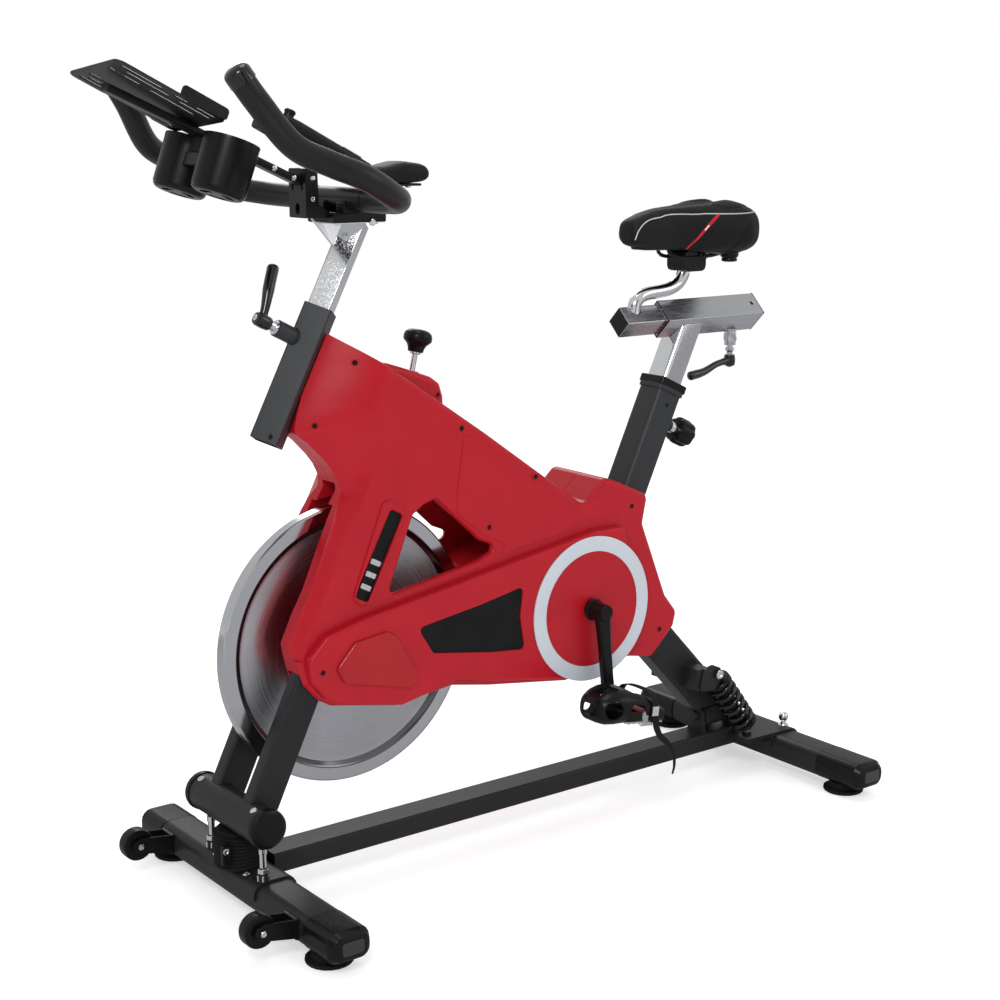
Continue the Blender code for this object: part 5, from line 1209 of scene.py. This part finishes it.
def build_cups():
    """Two round cups with rolled rims, a collar that joins them, and drain slots in the floors."""
    axis = Vector((math.sin(math.radians(20)), 0, math.cos(math.radians(20))))
    lean = Matrix.Rotation(math.radians(20), 4, "Y")
    for side_name, side in SIDES:
        foot = at(-0.548, side * 0.062, 1.169)
        profile = mm([(0, 0), (0, 33), (1.2, 36.8), (4.5, 40.2), (9.5, 42), (80, 42.8),
                      (82.5, 43.2), (84.8, 42.8), (85, 41.2), (83.5, 40), (12, 39.2), (6.5, 37),
                      (3.5, 32.5), (3.2, 0)])
        cup = bare(lathe(f"cup_{side_name}", foot, axis, profile, BLACK, MAST, 72,
                         stands_for=["cup_holder"] if side < 0 else ()))
        tools = []
        for start in (20, 140, 260):
            arc = [math.radians(start + 80 * k / 10) for k in range(11)]
            loop = [(0.0265 * math.cos(t), 0.0265 * math.sin(t)) for t in arc]
            loop += [(0.015 * math.cos(t), 0.015 * math.sin(t)) for t in reversed(arc)]
            tools.append(bare(slab("cutter", filleted(loop, 0.003, 2), -0.02, 0.006, RED, None,
                                   place=lambda a, t, b, f=foot: f + lean @ Vector((a, b, t)))))
        carve(cup, *tools)
        shade(cup, 40)
    middle = at(-0.548, 0, 1.169) + axis * 0.048
    block("cup_web", middle, (0.05, 0.052, 0.022), BLACK, MAST, 0.003, lean)
    block("cup_saddle", at(-0.548, 0, 1.169) + axis * 0.072, (0.044, 0.044, 0.03), MATT,
          MAST, 0.003, lean)


def build_tray():
    """A thin steel plate with long slots, a rolled rim and a lip folded up at one side."""
    lean, roll = math.radians(26.5), math.radians(6.5)
    way = Vector((-math.cos(lean), 0, math.sin(lean)))
    level = Vector((math.sin(lean), 0, math.cos(lean)))
    across = Y * math.cos(roll) - level * math.sin(roll)
    normal = level * math.cos(roll) + Y * math.sin(roll)
    foot = at(-0.5385, 0, 1.268)

    def place(a, t, b):
        return foot + way * a + across * b + normal * t

    rows = ((-0.062, ((0.012, 0.048), (0.06, 0.086), (0.104, 0.176))),
            (-0.048, ((0.012, 0.07), (0.084, 0.16))),
            (-0.03, ((0.03, 0.11), (0.124, 0.178))),
            (0.03, ((0.012, 0.098), (0.112, 0.178))),
            (0.048, ((0.02, 0.078), (0.094, 0.17))),
            (0.062, ((0.012, 0.06), (0.074, 0.12), (0.134, 0.178))))
    holes = []
    for y, spans in rows:
        for a, b in spans:
            holes.append(filleted([(a, y - 0.0034), (b, y - 0.0034), (b, y + 0.0034),
                                   (a, y + 0.0034)], 0.0033, 3))
    outline = filleted(mm([(0, -77.5), (190.8, -77.5), (190.8, 77.5), (128, 77.5), (123, 73.5),
                           (48, 73.5), (43, 77.5), (0, 77.5)]), 0.014)
    slab("tray_plate", outline, 0.0, 0.0028, PAINT, MAST, holes=holes, round_low=0.0009,
         round_high=0.0009, steps=2, place=place, stands_for=["tablet_tray"])
    lip = filleted(mm([(1, 0), (83, 0), (83, 18.5), (1, 18.5)]), 0.006)
    slab("tray_lip", lip, -0.0775, -0.0735, BLACK, MAST, round_low=0.0012, round_high=0.0012,
         place=lambda a, t, b: place(a, b, t), slot="frame_paint")
    for i, a in enumerate((0.03, 0.1, 0.16)):
        lathe(f"tray_bolt_{i}", place(a, 0.0026, 0.0), normal,
              mm([(0, 0), (0, 6.5), (1.5, 5.5), (2.4, 3), (2.4, 0)]), BLACK, MAST, 28)


def build_console():
    lean = math.radians(27.0)
    way = Vector((-math.cos(lean), 0, math.sin(lean)))
    normal = Vector((math.sin(lean), 0, math.cos(lean)))
    foot = at(-0.272, 0, 1.202)

    def place(a, t, b):
        return foot + way * a + Y * b + normal * t

    slab("console_face", filleted(mm([(10, -48), (155, -48), (155, 48), (10, 48)]), 0.012), 0.0096,
         0.0112, MATT, MAST, round_high=0.0008, place=place)
    slab("console_trim", filleted(mm([(20, -50), (60, -50), (60, -30), (20, -30)]), 0.004), 0.0108,
         0.0122, SILVER, MAST, round_high=0.0006, place=place)
    lathe("console_stop", place(0.158, 0.009, -0.036), normal,
          mm([(0, 0), (0, 8.5), (6, 8), (10, 9.5), (12.5, 8), (13, 0)]), BLACK, MAST, 32)
    for i, y in enumerate((-0.034, 0.034)):
        screw(f"console_screw_{i}", place(0.004, 0.0098, y), normal, MAST, 0.0045)


# ---- cushions -----------------------------------------------------------------------------
def puff(obj, pressure=4.0, cap=0.006, voxel=0.005):
    """Swells a closed pad with a short cloth simulation, and caps how far its skin may move."""
    remesh = obj.modifiers.new("even", "REMESH")
    remesh.mode = "VOXEL"
    remesh.voxel_size = voxel
    apply_all(obj)
    cloth = obj.modifiers.new("swell", "CLOTH").settings
    cloth.quality = 6
    cloth.mass = 0.3
    cloth.tension_stiffness = 25
    cloth.compression_stiffness = 25
    cloth.shear_stiffness = 25
    cloth.use_pressure = True
    cloth.uniform_pressure_force = pressure
    cloth.effector_weights.gravity = 0
    scene = bpy.context.scene
    for step in range(1, 21):
        scene.frame_set(step)
    swollen = obj.evaluated_get(bpy.context.evaluated_depsgraph_get()).data
    ends = [v.co.copy() for v in swollen.vertices]
    obj.modifiers.clear()
    for vertex, end in zip(obj.data.vertices, ends):
        way = end - vertex.co
        vertex.co += way * min(1.0, cap / max(1e-9, way.length))
    scene.frame_set(1)
    smooth = obj.modifiers.new("smooth", "SMOOTH")
    smooth.factor = 0.5
    smooth.iterations = 6
    finer = obj.modifiers.new("finer", "SUBSURF")
    finer.levels = finer.render_levels = 1
    apply_all(obj)
    return shade(obj, 70, weighted=False)


SADDLE = [(0.306, 0.02, 1.064, 1.096), (0.312, 0.026, 1.058, 1.105), (0.344, 0.034, 1.054, 1.113),
          (0.39, 0.045, 1.053, 1.118), (0.44, 0.064, 1.05, 1.121), (0.49, 0.087, 1.044, 1.126),
          (0.535, 0.097, 1.037, 1.13), (0.563, 0.088, 1.039, 1.128), (0.576, 0.062, 1.049, 1.118)]
PIPING_START = ((0.366, 46),)
STRIPE_LINE = ((0.474, 39), (0.46, 22), (0.448, 0), (0.438, -26), (0.432, -50), (0.43, -64))
REAR_PAD = [(-0.244, 0.026, 1.181, 1.196), (-0.232, 0.035, 1.178, 1.206),
            (-0.19, 0.039, 1.178, 1.215), (-0.15, 0.035, 1.18, 1.21), (-0.138, 0.026, 1.185, 1.201)]


def pad_rings(table, dip=0.0, squareness=0.72, count=40):
    """Closed rings round a pad; the top dips along the middle by dip where the pad is wide."""
    widest = max(row[1] for row in table)
    rings = []
    for x, half, low, high in table:
        middle, tall = (low + high) / 2, (high - low) / 2
        ring = []
        for k in range(count):
            t = 2 * math.pi * k / count
            c, s = math.cos(t), math.sin(t)
            y = half * math.copysign(abs(c) ** squareness, c)
            z = middle + tall * math.copysign(abs(s) ** squareness, s)
            if s > 0:
                z -= dip * math.exp(-(y / 0.014) ** 2) * (half / widest) ** 2
            ring.append(at(x, y, z))
        rings.append(ring)
    return rings


def surface_point(tree, centre, way, lift):
    """Where a ray from inside a pad leaves it, lifted off by a little, with its outward normal."""
    hit, normal, _, _ = tree.ray_cast(centre, way.normalized())
    if hit is None:
        return None
    if normal.dot(way) < 0:
        normal = -normal
    return hit + normal * lift, normal


def ribbon(name, tree, spots, width, lift, thick, paint, body, **kw):
    """A thin band laid on a pad along rays: spots are (centre, way) pairs."""
    found = [surface_point(tree, centre, way, lift) for centre, way in spots]
    found = [f for f in found if f]
    mesh = bmesh.new()
    rows = []
    for i, (p, normal) in enumerate(found):
        before, after = found[max(0, i - 1)][0], found[min(len(found) - 1, i + 1)][0]
        across = (after - before).cross(normal).normalized()
        wide = (width(i / (len(found) - 1)) if callable(width) else width) / 2
        rows.append([mesh.verts.new(p + across * a * wide + normal * (b * thick))
                     for a, b in ((-1, -1), (-1, 0), (-0.7, 1), (0.7, 1), (1, 0), (1, -1))])
    for low, high in zip(rows, rows[1:]):
        for i in range(6):
            j = (i + 1) % 6
            mesh.faces.new((low[i], low[j], high[j], high[i]))
    mesh.faces.new(rows[0])
    mesh.faces.new(rows[-1])
    return shade(piece(name, mesh, paint, body, **kw), 50, weighted=False)


def build_saddle():
    body = "saddle_head"
    seat = loft("saddle_cushion", pad_rings(SADDLE, dip=0.01), COVER, body,
                stands_for=["saddle"])
    puff(seat)
    bare_mesh = bmesh.new()
    bare_mesh.from_mesh(seat.data)
    tree = BVHTree.FromBMesh(bare_mesh)
    bare_mesh.free()

    def spot(x, degrees, side=1):
        half, low, high = between(SADDLE, x)
        a = math.radians(degrees)
        out = Vector((0, side * half * math.cos(a), (high - low) / 2 * math.sin(a)))
        return at(x, 0, (low + high) / 2), out

    for side_name, side in SIDES:
        for name, line, part, width, lift, thick, paint in (
            ("piping", (*PIPING_START, (0.38, 50), (0.41, 49), (0.45, 44), (0.49, 38), (0.53, 36),
                        (0.562, 40)), slice(None), 0.0022, 0.0002, 0.0009, PIPING),
            ("nose_piping", (*PIPING_START, (0.348, 44), (0.334, 38), (0.324, 26), (0.317, 8),
                             (0.314, -14), (0.313, -34)), slice(None), 0.0022, 0.0002, 0.0009, PIPING),
            ("stripe", STRIPE_LINE, slice(None), lambda t: 0.006 - 0.0015 * t, 0.0001, 0.0006, STRIPE),
            ("stripe_mark", STRIPE_LINE, slice(12, 18), 0.0026, 0.0005, 0.0005, WHITE),
            ("seam", ((0.535, 18), (0.522, -6), (0.512, -34), (0.508, -60)), slice(None), 0.0016, 0.0,
             0.0007, COVER),
        ):
            spots = [spot(x, a, side) for x, a in smooth_pairs(line, 8)]
            ribbon(f"saddle_{name}_{side_name}", tree, spots[part], width, lift, thick, paint, body)
        turns = [2 * math.pi * k / 36 for k in range(36)]
        gel = [(0.52 + 0.042 * math.cos(t), 0.044 + 0.024 * math.sin(t)) for t in turns]
        raised_patch(f"saddle_gel_{side_name}", tree, gel, side, 0.0022, body)
    under = [(0.33, 0.01, 1.05, 1.062), (0.35, 0.016, 1.048, 1.062), (0.42, 0.028, 1.046, 1.062),
             (0.47, 0.046, 1.04, 1.06), (0.53, 0.06, 1.032, 1.054), (0.555, 0.046, 1.036, 1.054)]
    shell = loft("saddle_shell", pad_rings(under, squareness=0.5), BLACK, body)
    shade(shell, 50)
    for side_name, side in SIDES:
        lathe(f"saddle_puck_{side_name}", at(0.53, side * 0.04, 1.04), -Z,
              mm([(0, 0), (0, 15), (4, 17.5), (8, 16.5), (11, 13.5), (14, 15), (17, 14), (18, 10),
                  (18, 0)]), BLACK, body, 40, limit=50)
        screw(f"saddle_clamp_bolt_{side_name}", at(0.474, side * 0.0245, 1.036), Y * side, body,
              0.0075, paint=BLACK, height=0.004)


def smooth_pairs(points, steps):
    return [(p.x, p.y) for p in smooth_path([(a, b, 0) for a, b in points], steps)]


def raised_patch(name, tree, outline, side, lift, body):
    """A low cushion laid on the saddle's top, crowned, and dimpled as perforated cover is."""
    mesh = bmesh.new()
    middle_x = sum(x for x, _ in outline) / len(outline)
    middle_y = sum(y for _, y in outline) / len(outline)
    rows = []
    for share, high in ((1.0, -0.001), (0.97, 0.0008), (0.86, 0.0018), (0.66, 0.0024), (0.42, 0.0027),
                        (0.18, 0.0028)):
        ring = []
        for x, y in outline:
            p = Vector((middle_x + (x - middle_x) * share,
                        (middle_y + (y - middle_y) * share) * side, 1.3))
            hit, _, _, _ = tree.ray_cast(p, -Z)
            ring.append(mesh.verts.new(Vector((p.x, p.y, hit.z + high * lift / 0.0028))))
        rows.append(ring)
    for a, b in zip(rows, rows[1:]):
        for i in range(len(a)):
            j = (i + 1) % len(a)
            mesh.faces.new((a[i], a[j], b[j], b[i]))
    mesh.faces.new(rows[-1])
    pad = piece(name, mesh, PERFORATED, body)
    return shade(pad, 60, weighted=False)


def build_rear_pad():
    pad = loft("elbow_pad", pad_rings(REAR_PAD, squareness=0.6), COVER, MAST,
               stands_for=["rear_pad"])
    puff(pad, cap=0.004, voxel=0.004)
    block("elbow_pad_plate", at(-0.19, 0, 1.1765), (0.07, 0.052, 0.004), BLACK, MAST, 0.0012)
    for i, y in enumerate((-0.017, 0.017)):
        screw(f"elbow_pad_bolt_{i}", at(-0.176, y, 1.1745), -Z, MAST, 0.005, height=0.003)


# ---- levers and knobs ---------------------------------------------------------------------
def build_levers():
    body = "bar_clamp"
    start = head(0.172)
    lathe("bar_lever_stud", start + HEAD_FRONT * 0.03, HEAD_FRONT,
          mm([(0, 0), (0, 5.8), (31.5, 5.8), (31.8, 11.2), (33.5, 11.8), (35.8, 11.2), (36.2, 8.2),
              (46, 8), (46, 0)]), CHROME, body, 40, stands_for=["bar_lever"])
    lathe("bar_lever_hub", start + HEAD_FRONT * 0.0755, HEAD_FRONT,
          mm([(0, 0), (0, 9.8), (1.5, 10.8), (12, 11.8), (24, 11), (26.8, 9.5), (27.5, 6),
              (26.2, 5.5), (26.2, 0)]), GLOSS_BLACK, body, 44, limit=50)
    screw("bar_lever_screw", start + HEAD_FRONT * 0.101, HEAD_FRONT, body, 0.0052, height=0.0035)
    path = [head(0.174, 0.0885, 0.001), head(0.182, 0.0895, 0.003), head(0.197, 0.0905, 0.006),
            head(0.227, 0.0925, 0.015), head(0.259, 0.092, 0.027)]
    sweep("bar_lever_handle", path,
          lambda t: 0.0086 - 0.0022 * math.sin(math.pi * min(1, t * 1.4)) + 0.0012 * t, GLOSS_BLACK,
          body, sides=28, steps=8, dome=0.006)
    lathe("bar_lever_boss_ring", start + HEAD_FRONT * 0.027, HEAD_FRONT,
          mm([(0, 5.5), (0, 15), (1.6, 15.6), (3, 14.8), (3, 5.5)]), PAINT, UPPER, 56)
    body = "slider_clamp"
    lathe("slider_lever_stud", at(0.577, 0, 0.866), -Z,
          mm([(0, 0), (0, 5.8), (12, 5.8), (12, 8.8), (17, 8.8), (20, 6.2), (26, 6.2), (26, 0)]),
          CHROME, body, 40, stands_for=["slider_lever"])
    lathe("slider_lever_hub", at(0.577, 0, 0.8405), -Z,
          mm([(0, 0), (0, 9), (1.5, 10.2), (10, 11.2), (19, 10.4), (21.5, 8.8), (22, 0)]),
          GLOSS_BLACK, body, 44, limit=50)
    screw("slider_lever_screw", at(0.577, 0, 0.819), -Z, body, 0.0048, height=0.003)
    path = [at(0.575, 0, 0.83), at(0.56, 0, 0.8275), at(0.54, 0, 0.8235), at(0.51, 0, 0.8125),
            at(0.482, 0, 0.808), at(0.476, 0, 0.8075)]
    sweep("slider_lever_handle", path,
          lambda t: 0.008 - 0.002 * math.sin(math.pi * min(1, t * 1.4)) + 0.0008 * t, GLOSS_BLACK,
          body, sides=28, steps=8, dome=0.005)
    body = "resistance_dial"
    lathe("resistance_cap", KNOB_TOP, -ROD_UP, mm([(0, 0), (0.2, 10), (2.2, 17.5), (6.5, 22.5),
                                                   (12, 24.3), (18, 24.2), (21.5, 21.5), (25.5, 17),
                                                   (31, 14.2), (37, 13), (38.5, 12), (38.5, 0)]),
          BLACK, body, 64, limit=60, stands_for=["resistance_knob"])
    lathe("resistance_collar", KNOB_TOP - ROD_UP * 0.038, -ROD_UP,
          mm([(0, 0), (0, 9.2), (3, 9.2), (4, 8), (4, 0)]), CHROME, body, 40)
    body = "pull_pin"
    start = SEAT_REF + SEAT_UP * ((0.738 - 0.787) / SEAT_UP.z) + SEAT_BACK * 0.05
    lobed("pull_pin_knob", start, SEAT_BACK, mm([(14, 10), (15, 21.5), (18, 24.5), (23, 25.8),
                                                 (44, 25.8), (50, 24), (54.5, 19), (56, 10),
                                                 (56.2, 0)]), BLACK, body, stands_for=["pop_pin"])
    lathe("pull_pin_neck", start, SEAT_BACK,
          mm([(-24, 0), (-24, 5), (0, 5), (0, 10.8), (10, 11.8), (15, 11.8), (15, 0)]), CHROME,
          body, 40)


def lobed(name, origin, axis, profile, paint, body, lobes=8, depth=0.1, **kw):
    """A turned knob whose rim is scalloped for the fingers."""
    a, b = frame_of(axis)
    mesh = bmesh.new()
    rows = []
    widest = max(r for _, r in profile)
    steps = lobes * 12
    for along, radius in profile:
        centre = origin + axis * along
        if radius < 1e-6:
            rows.append([mesh.verts.new(centre)])
            continue
        ring = []
        for i in range(steps):
            t = 2 * math.pi * i / steps
            cut = depth * (0.5 - 0.5 * math.cos(lobes * t)) ** 2 * (radius / widest) ** 2
            ring.append(mesh.verts.new(centre + (a * math.cos(t) + b * math.sin(t))
                                       * radius * (1 - cut)))
        rows.append(ring)
    mesh.faces.new(rows[0])
    for low, high in zip(rows, rows[1:]):
        for i in range(steps):
            j = (i + 1) % steps
            mesh.faces.new((low[i], low[j], high[0]) if len(high) == 1
                           else (low[i], low[j], high[j], high[i]))
    return shade(piece(name, mesh, paint, body, **kw), 40)


# ---- seat slider --------------------------------------------------------------------------
def build_slider():
    carriage = "seat_carriage"
    path = [at(0.33, 0, 0.917), at(0.33, 0, 0.938), at(0.334, 0, 0.953), at(0.346, 0, 0.964),
            at(0.366, 0, 0.969), at(0.392, 0, 0.971), at(0.418, 0, 0.975), at(0.438, 0, 0.984),
            at(0.45, 0, 0.999), at(0.453, 0, 1.014), at(0.453, 0, 1.026)]
    sweep("seat_neck", path, 0.0122, CHROME, carriage, sides=40, steps=8, up=Y,
          stands_for=["swan_neck"])
    lathe("seat_neck_weld", at(0.33, 0, 0.925), Z,
          mm([(0, 11.5), (0, 14.8), (2, 14), (3.4, 12.5), (3.6, 11.5)]), CHROME, carriage, 48,
          limit=60)
    low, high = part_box("slider_bar")
    middle = (low.z + high.z) / 2
    turn = Matrix.Rotation(math.radians(45), 4, "X")
    side = (high.y - low.y) / math.sqrt(2)
    block("slider_cap", (low.x + 0.0012, 0, middle), (0.0034, side * 0.985, side * 0.985), BLACK,
          carriage, 0.0012, turn)
    low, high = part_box("slider_tube")
    side = (high.y - low.y) / math.sqrt(2)
    for name, outer, start, end, holes in (
        ("front", side + 0.0003, low.x - 0.0002, low.x + 0.003, [square(side - 0.0056)]),
        ("rear", side + 0.0012, high.x - 0.0016, high.x + 0.0004, ()),
    ):
        slab(f"slider_liner_{name}", square(outer), start, end, BLACK, "seat_mast", holes=holes,
             place=lambda a, t, b: Vector((t, a, middle + b)))
    drop = (high.y - low.y) / 2
    spot = Vector((high.x - 0.018, -drop * 0.5, middle + drop * 0.5))
    recess("slider_stop_hole", spot, Vector((0, -1, 1)).normalized(), "seat_mast", 0.004, STEEL)
    lathe("slider_boss_ring", at(0.577, 0, 0.8845), -Z,
          mm([(0, 0), (0, 12.4), (16.5, 12.4), (18, 11.6), (18, 0)]), CHROME, "seat_mast", 48)
    slab("seat_collar", rounded(0.0665, 0.0665, 0.007), 0.0055, 0.02, BLACK, UPPER,
         holes=[rounded(0.0515, 0.0515, 0.005)], round_high=0.0022, round_low=0.001,
         place=lambda x, t, z: SEAT_REF + SEAT_UP * t + SEAT_BACK * x + Y * z)
    for name, centre, way in (("seat_sleeve_screw", SEAT_REF - SEAT_UP * 0.026 + Y * -0.0302, -Y),
                              ("head_sleeve_screw", head(0.01, 0.012, -0.0252), -Y)):
        recess(name, centre, way, UPPER, 0.003, SLEEVE)


build_stage()
dress_nodes()
for cover_name, cover_side in SIDES:
    build_shroud(cover_name, cover_side)
build_cover_details()
build_guard()
build_flywheel()
build_base_details()
build_shocks()
build_cranks()
build_pedals()
build_handlebar()
build_front_carrier()
build_cups()
build_tray()
build_console()
build_saddle()
build_rear_pad()
build_levers()
build_slider()
